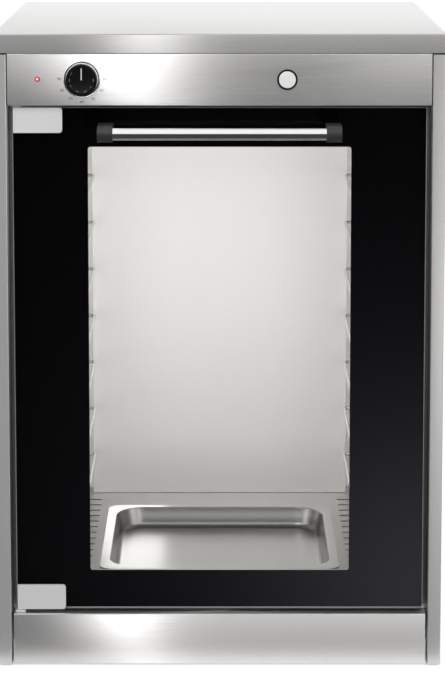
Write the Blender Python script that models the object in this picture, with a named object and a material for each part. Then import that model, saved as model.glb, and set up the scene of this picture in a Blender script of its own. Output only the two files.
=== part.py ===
"""Undercounter proofing cabinet with a glass door, wire tray racks and a lift-out water tray.

Places are measured from three datums: X from the cabinet's centre plane, Y from the front plane of
the side panels (positive into the cabinet) and Z from the ground. The empty front_datum carries
these axes. It stands so that the whole part is centred on the world's origin.
"""

import math

import bmesh
import bpy
from mathutils import Vector

# Clearances, cuts and roundness
SEAT_GAP = 0.0003
CUT_OVERRUN = 0.004
SHEET = 0.001
CORNER_STEPS = 4
ROUND_STEPS = 32
SMALL_ROUND_STEPS = 20
WIRE_SIDES = 8
BEND_STEPS = 3
SHARP_ANGLE = math.radians(35)

# Outer body
BODY_WIDTH = 0.593
BODY_DEPTH = 0.620
CABINET_HEIGHT = 0.850
GROUND_CLEARANCE = 0.002
FLANGE_WIDTH = 0.0175
REAR_FLANGE = 0.015
FRAME_SETBACK = 0.024

# Worktop
WORKTOP_THICKNESS = 0.025
WORKTOP_SIDE_LAP = 0.001
REAR_OVERHANG = 0.020
WORKTOP_RETURN = 0.012
WORKTOP_CORNER = 0.004
WORKTOP_EDGE = 0.0015
WORKTOP_SHEET = 0.0012
SHADOW_GAP = 0.002

# Control panel and plinth
PANEL_HEIGHT = 0.0692
PANEL_SIDE_GAP = 0.0013
PANEL_RETURN = 0.022
PLINTH_HEIGHT = 0.0718
PLINTH_SIDE_GAP = 0.0033
PLINTH_RETURN = 0.018

# Base pan and feet
PAN_HEIGHT = 0.030
PAN_RIM = 0.025
PAN_SHEET = 0.0012
FOOT_RADIUS = 0.019
FOOT_TOP_RADIUS = 0.017
FOOT_CHAMFER = 0.002
FOOT_INSET = 0.045

# Rail under the worktop
RAIL_DEPTH = 0.030
RAIL_DROP = 0.048
TOP_RAIL_SHEET = 0.0015
TOP_RAIL_END_GAP = 0.004

# Cavity
SIDE_SPACE = 0.0725
SERVICE_SPACE = 0.1197
DUCT_DEPTH = 0.0383
FLOOR_HEIGHT = 0.1247
CEILING_DROP = 0.010
WALL_FLANGE = 0.007
FRAME_HEAD = 0.0502
FRAME_SIDE_LAP = 0.011
MOUTH_TUBE = 0.0035
BAFFLE_SIDE_GAP = 0.035
BAFFLE_TOP_GAP = 0.025

# Floor slots
SLOT_WIDTH = 0.007
SLOT_PITCH = 0.032
SLOT_INNER_STRIP = 0.0112
SLOT_WALL_STRIP = 0.016
SLOT_REAR_STRIP = 0.043
SLOT_FRONT_STRIP = 0.030
SLOT_END_STEPS = 2
RETURN_HOLE_WIDTH = 0.300
RETURN_HOLE_MARGIN = 0.003

# Water tray
TRAY_SIDE_STRIP = 0.0615
TRAY_FRONT = 0.028
TRAY_REAR_STRIP = 0.080
TRAY_RIM = 0.011
TRAY_BOWL_DEPTH = 0.027
TRAY_SHEET = 0.001
TRAY_OUTER_CORNER = 0.020
TRAY_BOWL_CORNER = 0.045
TRAY_STEP_DROP = 0.003
TRAY_STEP_WIDTH = 0.002
TRAY_DRAFT = 0.004
TRAY_BOTTOM_ROUND = 0.007
TRAY_HOLE_CLEARANCE = 0.0015

# Racks
WIRE_RADIUS = 0.0025
WIRE_BEND = 0.008
UPRIGHT_GAP = 0.0025
RAIL_REACH = 0.033
RACK_FRONT = 0.044
RACK_REAR_GAP = 0.017
RACK_BOTTOM_RISE = 0.0353
RACK_TOP_DROP = 0.0232
FIRST_RAIL_RISE = 0.0633
RAIL_PITCH = 0.070
RAIL_HEADROOM = 0.020
STUD_NECK_RADIUS = 0.003
STUD_HEAD_RADIUS = 0.005
STUD_HEAD_THICKNESS = 0.002
STUD_INSET = 0.040

# Door glass, border and seal
DOOR_SIDE_GAP = 0.0065
DOOR_TOP_GAP = 0.0025
DOOR_BOTTOM_GAP = 0.0044
GLASS_SETBACK = 0.011
GLASS_THICKNESS = 0.006
GLASS_CORNER = 0.0035
GLASS_ARRIS = 0.0004
BORDER_THICKNESS = 0.0005
BORDER_INSET = 0.0005
BORDER_SIDE = 0.099
BORDER_TOP = 0.053
BORDER_BOTTOM = 0.0513
SEAL_WIDTH = 0.010
SEAL_LAP = 0.002
SEAL_CORNER = 0.006
SEAL_LIP_SHARE = 0.35

# Hinges
PIVOT_EDGE = 0.0055
PIVOT_SETBACK = 0.013
PIVOT_RADIUS = 0.003
PIVOT_CLEARANCE = 0.0003
PIVOT_LENGTH = 0.012
HINGE_LENGTH = 0.0645
HINGE_HEIGHT = 0.0335
HINGE_THICKNESS = 0.004
HINGE_EDGE = 0.0015
HINGE_CORNER = 0.004
BLOCK_EDGE = 0.0008
BLOCK_WIDTH = 0.0124
BLOCK_HEIGHT = 0.015
CLAMP_THICKNESS = 0.003
TONGUE_WIDTH = 0.013
TONGUE_FRONT = 0.007
TONGUE_THICKNESS = 0.0017
LOWER_TONGUE_THICKNESS = 0.003
COLLAR_RADIUS = 0.005

# Handle
HANDLE_LENGTH = 0.318
HANDLE_DROP = 0.031
HANDLE_STANDOFF = 0.030
HANDLE_BAR_RADIUS = 0.008
BAR_CLEARANCE = 0.0003
BAR_SOCKET = 0.012
MOUNT_WIDTH = 0.020
MOUNT_HEIGHT = 0.021
MOUNT_ROUND_STEPS = 10
HANDLE_SCREW_RADIUS = 0.0025
HANDLE_SCREW_HEAD_RADIUS = 0.005
HANDLE_SCREW_HEAD = 0.003
HANDLE_SCREW_REACH = 0.016
SCREW_CLEARANCE = 0.001

# Catch
CATCH_EDGE = 0.0215
CATCH_WIDTH = 0.022
CATCH_HEIGHT = 0.030
STRIKE_WIDTH = 0.016
STRIKE_HEIGHT = 0.020
STRIKE_THICKNESS = 0.0022

# Controls
CONTROL_RISE = 0.0355
LAMP_INSET = 0.041
LAMP_RADIUS = 0.003
LAMP_FLANGE = 0.0036
LAMP_PROUD = 0.0024
LAMP_LENGTH = 0.018
KNOB_INSET = 0.099
KNOB_RADIUS = 0.0205
KNOB_FRONT = 0.016
KNOB_BACK = 0.0012
KNOB_EDGE = 0.002
KNOB_DISH = 0.0006
POINTER_WIDTH = 0.0016
POINTER_LENGTH = 0.019
BEZEL_RADIUS = 0.0245
BEZEL_BORE = 0.0215
BEZEL_PROUD = 0.003
SHAFT_RADIUS = 0.003
SHAFT_REACH = 0.011
SHAFT_HOLE = 0.005
THERMOSTAT_SIZE = 0.036
THERMOSTAT_LENGTH = 0.020
BUTTON_X = 0.0885
BUTTON_RISE = 0.035
BUTTON_RADIUS = 0.011
BUTTON_PROUD = 0.0055
BUTTON_DOME = 0.0005
BUTTON_LENGTH = 0.0112
BUTTON_TRAVEL = 0.003
SWITCH_FLANGE_RADIUS = 0.0135
SWITCH_FLANGE = 0.0022
SWITCH_BARREL_RADIUS = 0.012
SWITCH_WALL_CLEARANCE = 0.0003
SWITCH_LENGTH = 0.021

# Heater
HEATER_RADIUS = 0.00325
HEATER_HEIGHT = 0.062
HEATER_LEG_SPACING = 0.070
HEATER_FRONT = 0.075
HEATER_REAR_GAP = 0.1003
HEATER_TAIL_GAP = 0.0603
HEATER_BEND = 0.025
HEATER_BRACKET_WIDTH = 0.250
HEATER_BRACKET_DEPTH = 0.020
HEATER_BRACKET_PLACE = 0.240

# Fan
FAN_SIZE = 0.080
FAN_DEPTH = 0.024
FAN_REAR_GAP = 0.005
FAN_BORE_RADIUS = 0.038
FAN_HUB_RADIUS = 0.0145
FAN_MOTOR_DEPTH = 0.006
FAN_STRUT_WIDTH = 0.005
FAN_SPIN_GAP = 0.001
BLADE_COUNT = 7
BLADE_TIP_GAP = 0.0015
BLADE_THICKNESS = 0.0014
BLADE_CHORD = 0.016
BLADE_PITCH = math.radians(40)
BLADE_ROOT_SHARE = 0.9

# Terminal block, cable gland and probe
TERMINAL_INSET = 0.0965
TERMINAL_WIDTH = 0.060
TERMINAL_DEPTH = 0.025
TERMINAL_HEIGHT = 0.024
TERMINAL_REAR_GAP = 0.055
TERMINAL_POLES = 4
TERMINAL_WELL_RADIUS = 0.0035
TERMINAL_WELL_DEPTH = 0.008
GLAND_INSET = 0.0965
GLAND_HEIGHT = 0.095
GLAND_BORE = 0.0045
GLAND_NECK = 0.0098
GLAND_HOLE = 0.0102
GLAND_HEX = 0.013
GLAND_DOME = 0.0105
GLAND_HEX_DEPTH = 0.006
GLAND_DOME_DEPTH = 0.010
GLAND_NUT_DEPTH = 0.006
PROBE_INSET = 0.018
PROBE_RADIUS = 0.003
PROBE_LENGTH = 0.090
PROBE_RISE = 0.3753
PROBE_CLIP_WIDTH = 0.012
PROBE_CLIP_HEIGHT = 0.010
PROBE_WALL_GAP = 0.005

# Rear panel vents and screws
PANEL_SHOULDER = 0.0125
VENT_COUNT = 8
VENT_LENGTH = 0.120
VENT_HEIGHT = 0.004
VENT_PITCH = 0.014
VENT_INSET = 0.1465
VENT_RISE = 0.060
REAR_SCREW_INSET = 0.008
REAR_SCREW_RISE = 0.100
REAR_SCREW_DROP = 0.063
REAR_SCREW_RADIUS = 0.002
REAR_SCREW_HEAD_RADIUS = 0.004
REAR_SCREW_HEAD = 0.002
REAR_SCREW_LENGTH = 0.009
REAR_SCREW_CLEARANCE = 0.0003

# Places worked out from the sizes
BODY_HALF = BODY_WIDTH / 2
LIP_HALF = BODY_HALF - FLANGE_WIDTH
WORKTOP_HALF = BODY_HALF + WORKTOP_SIDE_LAP
WORKTOP_DEPTH = BODY_DEPTH + REAR_OVERHANG
WORKTOP_BOTTOM = CABINET_HEIGHT - WORKTOP_THICKNESS
CARRIER_TOP = CABINET_HEIGHT - WORKTOP_SHEET - SEAT_GAP
SIDE_TOP = WORKTOP_BOTTOM - SHADOW_GAP
PANEL_TOP = WORKTOP_BOTTOM - SEAT_GAP
PANEL_BOTTOM = PANEL_TOP - PANEL_HEIGHT
FRAME_TOP = PANEL_BOTTOM - SEAT_GAP
FRAME_BOTTOM = PLINTH_HEIGHT + SEAT_GAP
FRAME_BACK = FRAME_SETBACK + SHEET
CONTROL_HEIGHT = PANEL_BOTTOM + CONTROL_RISE
BUTTON_HEIGHT = PANEL_BOTTOM + BUTTON_RISE
LAMP_X = LAMP_INSET - LIP_HALF
KNOB_X = KNOB_INSET - LIP_HALF
MOUTH_TOP = FRAME_TOP - FRAME_HEAD
MOUTH_BOTTOM = FLOOR_HEIGHT + SEAT_GAP + SHEET
CAVITY_HALF = BODY_HALF - SIDE_SPACE
CAVITY_FRONT = FRAME_BACK + SEAT_GAP
CEILING = FRAME_TOP - CEILING_DROP
REAR_WALL = BODY_DEPTH - SERVICE_SPACE
BAFFLE_FRONT = REAR_WALL - DUCT_DEPTH
BAFFLE_HALF = CAVITY_HALF - BAFFLE_SIDE_GAP
HEATER_REAR = REAR_WALL - HEATER_REAR_GAP
HEATER_TAIL = REAR_WALL - HEATER_TAIL_GAP
PROBE_X = CAVITY_HALF - PROBE_INSET
PAN_FLOOR = PAN_HEIGHT + PAN_SHEET
TERMINAL_PLACE = BODY_DEPTH - TERMINAL_REAR_GAP
TERMINAL_X = TERMINAL_INSET - BODY_HALF
GLAND_X = GLAND_INSET - BODY_HALF
VENT_X = BODY_HALF - VENT_INSET
REAR_PANEL_BACK = BODY_DEPTH - SHEET - SEAT_GAP
REAR_PANEL_FRONT = REAR_PANEL_BACK - SHEET
TRAY_HALF = CAVITY_HALF - TRAY_SIDE_STRIP
TRAY_REAR = BAFFLE_FRONT - TRAY_REAR_STRIP
UPRIGHT_X = CAVITY_HALF - UPRIGHT_GAP - WIRE_RADIUS
RAIL_X = UPRIGHT_X - RAIL_REACH
RACK_REAR = BAFFLE_FRONT - RACK_REAR_GAP
FIRST_RAIL = FLOOR_HEIGHT + FIRST_RAIL_RISE
RACK_BOTTOM = FLOOR_HEIGHT + RACK_BOTTOM_RISE
RACK_TOP = CEILING - RACK_TOP_DROP
RAIL_COUNT = 1 + int((MOUTH_TOP - RAIL_HEADROOM - FIRST_RAIL) / RAIL_PITCH)
GLASS_HALF = LIP_HALF - DOOR_SIDE_GAP
GLASS_TOP = PANEL_BOTTOM - DOOR_TOP_GAP
GLASS_BOTTOM = PLINTH_HEIGHT + DOOR_BOTTOM_GAP
GLASS_BACK = GLASS_SETBACK + GLASS_THICKNESS
BORDER_FRONT = GLASS_BACK + SEAT_GAP
BORDER_BACK = BORDER_FRONT + BORDER_THICKNESS
DOOR_BACK = BORDER_BACK + SEAT_GAP
WINDOW_HALF = GLASS_HALF - BORDER_SIDE
WINDOW_TOP = GLASS_TOP - BORDER_TOP
WINDOW_BOTTOM = GLASS_BOTTOM + BORDER_BOTTOM
PIVOT_X = -GLASS_HALF + PIVOT_EDGE
HANDLE_HEIGHT = GLASS_TOP - HANDLE_DROP
HANDLE_FRONT = HANDLE_STANDOFF + MOUNT_HEIGHT / 2
HANDLE_END = HANDLE_LENGTH / 2
MOUNT_X = HANDLE_END - MOUNT_WIDTH / 2
CATCH_X = GLASS_HALF - CATCH_EDGE
CATCH_HEIGHT_PLACE = (GLASS_TOP + GLASS_BOTTOM) / 2
FAN_REAR = REAR_WALL - FAN_REAR_GAP
FAN_FRONT = FAN_REAR - FAN_DEPTH
FAN_BASE = PAN_FLOOR + SEAT_GAP
FAN_HEIGHT = FAN_BASE + FAN_SIZE / 2
FRONT_Y = (HANDLE_FRONT - WORKTOP_DEPTH) / 2


def clear_scene():
    """Remove every object from the scene."""
    for item in list(bpy.data.objects):
        bpy.data.objects.remove(item)


def finish(name, colour, roughness, metallic=0.0):
    """Make one Principled material."""
    material = bpy.data.materials.new(name)
    material.use_nodes = True
    shader = material.node_tree.nodes["Principled BSDF"]
    shader.inputs["Base Color"].default_value = (*colour, 1)
    shader.inputs["Roughness"].default_value = roughness
    shader.inputs["Metallic"].default_value = metallic
    return material


def make_finishes():
    """Make the finishes seen in the photograph and inside the cabinet."""
    return {
        "steel": finish("brushed_steel", (0.60, 0.60, 0.59), 0.35, 1.0),
        "bright": finish("bright_steel", (0.72, 0.72, 0.71), 0.22, 1.0),
        "zinc": finish("galvanised_steel", (0.55, 0.56, 0.57), 0.45, 1.0),
        "chrome": finish("chrome", (0.80, 0.80, 0.80), 0.08, 1.0),
        "satin": finish("satin_hinge", (0.58, 0.57, 0.56), 0.30, 1.0),
        "glass": finish("glass", (0.80, 0.84, 0.84), 0.03),
        "enamel": finish("black_enamel", (0.005, 0.005, 0.006), 0.15),
        "rubber": finish("rubber", (0.02, 0.02, 0.02), 0.75),
        "mount": finish("dark_grey_plastic", (0.05, 0.05, 0.05), 0.45),
        "black": finish("black_plastic", (0.01, 0.01, 0.01), 0.30),
        "white": finish("white_plastic", (0.80, 0.80, 0.79), 0.30),
        "red": finish("red_plastic", (0.60, 0.03, 0.02), 0.25),
    }


def add_empty(name, place, carrier=None):
    """Add an empty that other pieces hang from."""
    empty = bpy.data.objects.new(name, None)
    bpy.context.scene.collection.objects.link(empty)
    empty.parent = carrier
    empty.location = place
    return empty


def add_piece(name, body, material, carrier, origin=None):
    """Turn a bmesh drawn on the datums into a named object on its carrier."""
    centre = Vector(origin) if origin else middle(body)
    bmesh.ops.translate(body, vec=-centre, verts=body.verts)
    bmesh.ops.recalc_face_normals(body, faces=body.faces)
    mesh = bpy.data.meshes.new(name)
    body.to_mesh(mesh)
    body.free()
    mesh.shade_smooth()
    mesh.set_sharp_from_angle(angle=SHARP_ANGLE)
    mesh.materials.append(material)
    piece = bpy.data.objects.new(name, mesh)
    bpy.context.scene.collection.objects.link(piece)
    piece.parent = carrier
    carried_at = carrier.location if carrier.parent else Vector()
    piece.location = centre - carried_at
    return piece


def middle(body):
    """Find the centre of a bmesh's box."""
    low = [min(vert.co[axis] for vert in body.verts) for axis in range(3)]
    high = [max(vert.co[axis] for vert in body.verts) for axis in range(3)]
    return (Vector(low) + Vector(high)) / 2


def change(piece, body, operation):
    """Cut a drawn shape out of a piece, or fuse it on, with a live Boolean."""
    tool = add_piece(piece.name + "_tool", body, piece.data.materials[0], piece.parent)
    tool.hide_render = True
    tool.display_type = "WIRE"
    step = piece.modifiers.new(operation.lower(), "BOOLEAN")
    step.operation = operation
    step.object = tool
    step.solver = "EXACT"


def cut(piece, body):
    """Cut a drawn shape out of a piece."""
    change(piece, body, "DIFFERENCE")


def fuse(piece, body):
    """Fuse a drawn shape onto a piece."""
    change(piece, body, "UNION")


def block(low, high, body=None):
    """Draw a box between two corners, in a new bmesh or beside what one holds."""
    body = body or bmesh.new()
    made = bmesh.ops.create_cube(body, size=1)
    size = Vector(high) - Vector(low)
    bmesh.ops.scale(body, vec=size, verts=made["verts"])
    bmesh.ops.translate(body, vec=(Vector(low) + Vector(high)) / 2, verts=made["verts"])
    return body


def placed(points, axis, place):
    """Put the points of a flat outline at a place along an axis."""
    if axis == "X":
        return [Vector((place, first, second)) for first, second in points]
    if axis == "Y":
        return [Vector((first, place, second)) for first, second in points]
    return [Vector((first, second, place)) for first, second in points]


def prism(outline, axis, start, end, body=None):
    """Draw a flat outline extruded along an axis."""
    body = body or bmesh.new()
    base = body.faces.new([body.verts.new(point) for point in placed(outline, axis, start)])
    made = bmesh.ops.extrude_face_region(body, geom=[base])
    moved = [item for item in made["geom"] if isinstance(item, bmesh.types.BMVert)]
    bmesh.ops.translate(body, vec=placed([(0, 0)], axis, end - start)[0], verts=moved)
    return body


def loft(rings, closed=False):
    """Draw a skin through rings of equal length, with its ends capped or joined to each other."""
    body = bmesh.new()
    rows = [[body.verts.new(point) for point in ring] for ring in rings]
    pairs = list(zip(rows, rows[1:]))
    if closed:
        pairs.append((rows[-1], rows[0]))
    else:
        body.faces.new(rows[0])
        body.faces.new(rows[-1])
    for near, far in pairs:
        for index, vert in enumerate(near):
            after = (index + 1) % len(near)
            body.faces.new((vert, near[after], far[after], far[index]))
    return body


def rounded(left, right, low, high, radius=0, steps=CORNER_STEPS):
    """List the corners of a rectangle, with arcs when it has a corner radius."""
    if radius <= 0:
        return [(left, low), (right, low), (right, high), (left, high)]
    corners = ((right, low, -1, 1), (right, high, -1, -1), (left, high, 1, -1), (left, low, 1, 1))
    points = []
    for quarter, (across, up, inward, upward) in enumerate(corners):
        for step in range(steps + 1):
            angle = (quarter - 1 + step / steps) * math.pi / 2
            points.append((
                across + radius * (inward + math.cos(angle)),
                up + radius * (upward + math.sin(angle)),
            ))
    return points


def turn(profile, centre, axis="Y", bored=False, steps=ROUND_STEPS, body=None):
    """Draw a profile of (radius, place along the axis) spun round an axis through centre."""
    body = body or bmesh.new()
    along = placed([(0, 0)], axis, 1)[0]
    outward = Vector((0, 0, 1)) if axis == "X" else Vector((1, 0, 0))
    centre = Vector(centre)
    verts = [body.verts.new(centre + outward * radius + along * place) for radius, place in profile]
    edges = [body.edges.new(pair) for pair in zip(verts, verts[1:])]
    if bored:
        edges.append(body.edges.new((verts[-1], verts[0])))
    before = set(body.verts) - set(verts)
    bmesh.ops.spin(
        body, geom=verts + edges, cent=centre, axis=along, angle=2 * math.pi, steps=steps,
        use_merge=True,
    )
    made = [vert for vert in body.verts if vert not in before]
    bmesh.ops.remove_doubles(body, verts=made, dist=SEAT_GAP / 10)
    return body


def rounded_path(corners, radius, closed=False):
    """Round the corners of a path with arcs."""
    count = len(corners)
    points = [Vector(corner) for corner in corners]
    path = []
    for index, corner in enumerate(points):
        if not closed and index in (0, count - 1):
            path.append(corner)
            continue
        back = (points[index - 1] - corner).normalized()
        ahead = (points[(index + 1) % count] - corner).normalized()
        half = back.angle(ahead) / 2
        centre = corner + (back + ahead).normalized() * (radius / math.sin(half))
        start = corner + back * (radius / math.tan(half)) - centre
        end = corner + ahead * (radius / math.tan(half)) - centre
        turned = start.angle(end)
        side = (end - start * math.cos(turned)) / math.sin(turned)
        for step in range(BEND_STEPS + 1):
            angle = turned * step / BEND_STEPS
            path.append(centre + start * math.cos(angle) + side * math.sin(angle))
    return path


def wire(path, radius, normal, closed=False):
    """Draw a round wire along a flat path whose plane has the given normal."""
    rings = []
    count = len(path)
    for index, point in enumerate(path):
        before = path[index - 1] if closed or index else None
        after = path[(index + 1) % count] if closed or index < count - 1 else None
        come = (point - before).normalized() if before else Vector()
        leave = (after - point).normalized() if after else Vector()
        side = (come + leave).normalized().cross(normal).normalized()
        ring = []
        for step in range(WIRE_SIDES):
            angle = 2 * math.pi * step / WIRE_SIDES
            ring.append(point + (side * math.cos(angle) + normal * math.sin(angle)) * radius)
        rings.append(ring)
    return loft(rings, closed)


def merge(bodies):
    """Gather several drawn shapes, still apart, in the first one."""
    first = bodies[0]
    for other in bodies[1:]:
        mesh = bpy.data.meshes.new("gathered")
        other.to_mesh(mesh)
        other.free()
        first.from_mesh(mesh)
        bpy.data.meshes.remove(mesh)
    return first


def worktop_ring(inset, height):
    """Give the worktop's outline, drawn in by inset, at a height."""
    radius = max(WORKTOP_CORNER - inset, SEAT_GAP)
    outline = rounded(
        inset - WORKTOP_HALF, WORKTOP_HALF - inset, inset, WORKTOP_DEPTH - inset, radius
    )
    return placed(outline, "Z", height)


def build_worktop(looks, datum):
    """Fold the worktop: a cap with rounded upright corners and a return round its underside."""
    rows = (
        (WORKTOP_EDGE, CABINET_HEIGHT),
        (0, CABINET_HEIGHT - WORKTOP_EDGE),
        (0, WORKTOP_BOTTOM),
        (WORKTOP_RETURN, WORKTOP_BOTTOM),
        (WORKTOP_RETURN, WORKTOP_BOTTOM + WORKTOP_SHEET),
        (WORKTOP_SHEET, WORKTOP_BOTTOM + WORKTOP_SHEET),
        (WORKTOP_SHEET, CABINET_HEIGHT - WORKTOP_SHEET),
    )
    add_piece("worktop", loft([worktop_ring(*row) for row in rows]), looks["steel"], datum)


def rear_screw_places():
    """List the places of the rear panel's screws, as (x, height)."""
    across = BODY_HALF - REAR_SCREW_INSET
    heights = (REAR_SCREW_RISE, SIDE_TOP - REAR_SCREW_DROP)
    return [(side * across, height) for side in (-1, 1) for height in heights]


def build_side_panels(looks, datum):
    """Fold the side panels, each with a front flange, a lip behind it and a rear flange."""
    for name, side in (("side_panel_left", -1), ("side_panel_right", 1)):
        outer = BODY_HALF
        inner = BODY_HALF - SHEET
        outline = (
            (outer, 0), (outer, BODY_DEPTH), (outer - REAR_FLANGE, BODY_DEPTH),
            (outer - REAR_FLANGE, BODY_DEPTH - SHEET), (inner, BODY_DEPTH - SHEET), (inner, SHEET),
            (LIP_HALF + SHEET, SHEET), (LIP_HALF + SHEET, FRAME_SETBACK - SEAT_GAP),
            (LIP_HALF, FRAME_SETBACK - SEAT_GAP), (LIP_HALF, 0),
        )
        mirrored = [(side * across, depth) for across, depth in outline]
        panel = add_piece(
            name, prism(mirrored, "Z", GROUND_CLEARANCE, SIDE_TOP), looks["steel"], datum
        )
        for across, height in rear_screw_places():
            if across * side > 0:
                cut(panel, rear_screw_hole(across, height))


def rear_screw_hole(across, height):
    """Draw the hole that a rear screw passes through."""
    radius = REAR_SCREW_RADIUS + REAR_SCREW_CLEARANCE
    start = REAR_PANEL_FRONT - CUT_OVERRUN - BODY_DEPTH
    profile = ((0, start), (radius, start), (radius, CUT_OVERRUN), (0, CUT_OVERRUN))
    return turn(profile, (across, BODY_DEPTH, height), steps=SMALL_ROUND_STEPS)


def build_rear_panel(looks, datum):
    """Cut the rear panel, with shoulders under the worktop's return, vents and holes."""
    wide = BODY_HALF - SHEET - SEAT_GAP
    narrow = BODY_HALF - PANEL_SHOULDER
    outline = (
        (-wide, GROUND_CLEARANCE), (wide, GROUND_CLEARANCE), (wide, SIDE_TOP), (narrow, SIDE_TOP),
        (narrow, CARRIER_TOP), (-narrow, CARRIER_TOP), (-narrow, SIDE_TOP), (-wide, SIDE_TOP),
    )
    panel = add_piece(
        "rear_panel", prism(outline, "Y", REAR_PANEL_FRONT, REAR_PANEL_BACK), looks["zinc"], datum
    )
    start = REAR_PANEL_FRONT - CUT_OVERRUN
    end = REAR_PANEL_BACK + CUT_OVERRUN
    vents = bmesh.new()
    for index in range(VENT_COUNT):
        low = PAN_HEIGHT + VENT_RISE + index * VENT_PITCH
        block(
            (VENT_X - VENT_LENGTH / 2, start, low),
            (VENT_X + VENT_LENGTH / 2, end, low + VENT_HEIGHT), vents,
        )
    cut(panel, vents)
    hole = ((0, start), (GLAND_HOLE, start), (GLAND_HOLE, end), (0, end))
    cut(panel, turn(hole, (GLAND_X, 0, GLAND_HEIGHT)))
    for across, height in rear_screw_places():
        cut(panel, rear_screw_hole(across, height))


def build_rear_screws(looks, datum):
    """Turn the four pan-head screws that hold the rear panel to the side panels."""
    seat = SEAT_GAP
    profile = (
        (0, seat - REAR_SCREW_LENGTH), (REAR_SCREW_RADIUS, seat - REAR_SCREW_LENGTH),
        (REAR_SCREW_RADIUS, seat), (REAR_SCREW_HEAD_RADIUS, seat),
        (REAR_SCREW_HEAD_RADIUS, seat + REAR_SCREW_HEAD / 2),
        (REAR_SCREW_HEAD_RADIUS / 2, seat + REAR_SCREW_HEAD), (0, seat + REAR_SCREW_HEAD),
    )
    for index, (across, height) in enumerate(rear_screw_places(), 1):
        body = turn(profile, (across, BODY_DEPTH, height), steps=SMALL_ROUND_STEPS)
        add_piece(f"rear_screw_{index}", body, looks["zinc"], datum)


def build_plinth(looks, datum):
    """Fold the plinth panel: a face with a ledge on top and a return below."""
    low = GROUND_CLEARANCE
    outline = (
        (0, low), (0, PLINTH_HEIGHT), (FRAME_BACK, PLINTH_HEIGHT),
        (FRAME_BACK, PLINTH_HEIGHT - SHEET), (SHEET, PLINTH_HEIGHT - SHEET),
        (SHEET, low + SHEET), (PLINTH_RETURN, low + SHEET), (PLINTH_RETURN, low),
    )
    half = LIP_HALF - PLINTH_SIDE_GAP
    add_piece("plinth_panel", prism(outline, "X", -half, half), looks["steel"], datum)


def build_control_panel(looks, datum):
    """Fold the control panel and cut the holes for the knob shaft, the lamp and the switch."""
    top_return = FRAME_BACK + SEAT_GAP * 2
    outline = (
        (0, PANEL_BOTTOM), (0, PANEL_TOP), (top_return, PANEL_TOP), (top_return, PANEL_TOP - SHEET),
        (SHEET, PANEL_TOP - SHEET), (SHEET, PANEL_BOTTOM + SHEET),
        (PANEL_RETURN, PANEL_BOTTOM + SHEET), (PANEL_RETURN, PANEL_BOTTOM),
    )
    half = LIP_HALF - PANEL_SIDE_GAP
    panel = add_piece("control_panel", prism(outline, "X", -half, half), looks["steel"], datum)
    holes = (
        (KNOB_X, CONTROL_HEIGHT, SHAFT_HOLE),
        (LAMP_X, CONTROL_HEIGHT, LAMP_RADIUS + SEAT_GAP),
        (BUTTON_X, BUTTON_HEIGHT, SWITCH_BARREL_RADIUS + SEAT_GAP),
    )
    for across, height, radius in holes:
        end = SHEET + CUT_OVERRUN
        profile = ((0, -CUT_OVERRUN), (radius, -CUT_OVERRUN), (radius, end), (0, end))
        cut(panel, turn(profile, (across, 0, height)))


def build_top_rail(looks, datum):
    """Fold the channel that carries the front of the worktop."""
    front = FRAME_BACK + SEAT_GAP * 3
    back = front + RAIL_DEPTH
    low = CARRIER_TOP - RAIL_DROP
    wall = TOP_RAIL_SHEET
    outline = (
        (front, low), (front, CARRIER_TOP), (back, CARRIER_TOP), (back, low), (back - wall, low),
        (back - wall, CARRIER_TOP - wall), (front + wall, CARRIER_TOP - wall), (front + wall, low),
    )
    half = WORKTOP_HALF - WORKTOP_RETURN - TOP_RAIL_END_GAP
    add_piece("top_rail", prism(outline, "X", -half, half), looks["zinc"], datum)


def build_base_pan(looks, datum):
    """Fold the base pan, a shallow tray between the side panels."""
    half = BODY_HALF - SHEET - SEAT_GAP
    front = FRAME_SETBACK
    back = REAR_PANEL_FRONT - SEAT_GAP
    rim = PAN_HEIGHT + PAN_RIM
    rows = ((0, PAN_HEIGHT), (0, rim), (PAN_SHEET, rim), (PAN_SHEET, PAN_FLOOR))
    rings = [
        placed(rounded(inset - half, half - inset, front + inset, back - inset), "Z", height)
        for inset, height in rows
    ]
    add_piece("base_pan", loft(rings), looks["zinc"], datum)


def build_feet(looks, datum):
    """Turn the four rubber feet under the base pan."""
    top = PAN_HEIGHT - SEAT_GAP
    profile = (
        (0, 0), (FOOT_RADIUS - FOOT_CHAMFER, 0), (FOOT_RADIUS, FOOT_CHAMFER),
        (FOOT_TOP_RADIUS, top), (0, top),
    )
    for side, side_name in ((-1, "left"), (1, "right")):
        for depth, row_name in ((FOOT_INSET, "front"), (BODY_DEPTH - FOOT_INSET, "rear")):
            place = (side * (BODY_HALF - FOOT_INSET), depth, 0)
            body = turn(profile, place, "Z", steps=SMALL_ROUND_STEPS)
            add_piece(f"foot_{row_name}_{side_name}", body, looks["rubber"], datum)


def frame_ring(half, low, high, depth, radius=0):
    """Give an upright rectangle, centred across the cabinet, at a depth."""
    return placed(rounded(-half, half, low, high, radius), "Y", depth)


def build_front_frame(looks, datum):
    """Fold the front frame: a flat face with a short tube that lines the cavity's mouth."""
    outer = LIP_HALF + FRAME_SIDE_LAP
    tube = CAVITY_HALF - SEAT_GAP
    mouth = tube - SHEET
    tube_back = FRAME_SETBACK + MOUTH_TUBE
    rings = (
        frame_ring(outer, FRAME_BOTTOM, FRAME_TOP, FRAME_SETBACK),
        frame_ring(mouth, MOUTH_BOTTOM, MOUTH_TOP, FRAME_SETBACK),
        frame_ring(mouth, MOUTH_BOTTOM, MOUTH_TOP, tube_back),
        frame_ring(tube, MOUTH_BOTTOM - SHEET, MOUTH_TOP + SHEET, tube_back),
        frame_ring(tube, MOUTH_BOTTOM - SHEET, MOUTH_TOP + SHEET, FRAME_BACK),
        frame_ring(outer, FRAME_BOTTOM, FRAME_TOP, FRAME_BACK),
    )
    add_piece("front_frame", loft(rings, closed=True), looks["steel"], datum)


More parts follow.
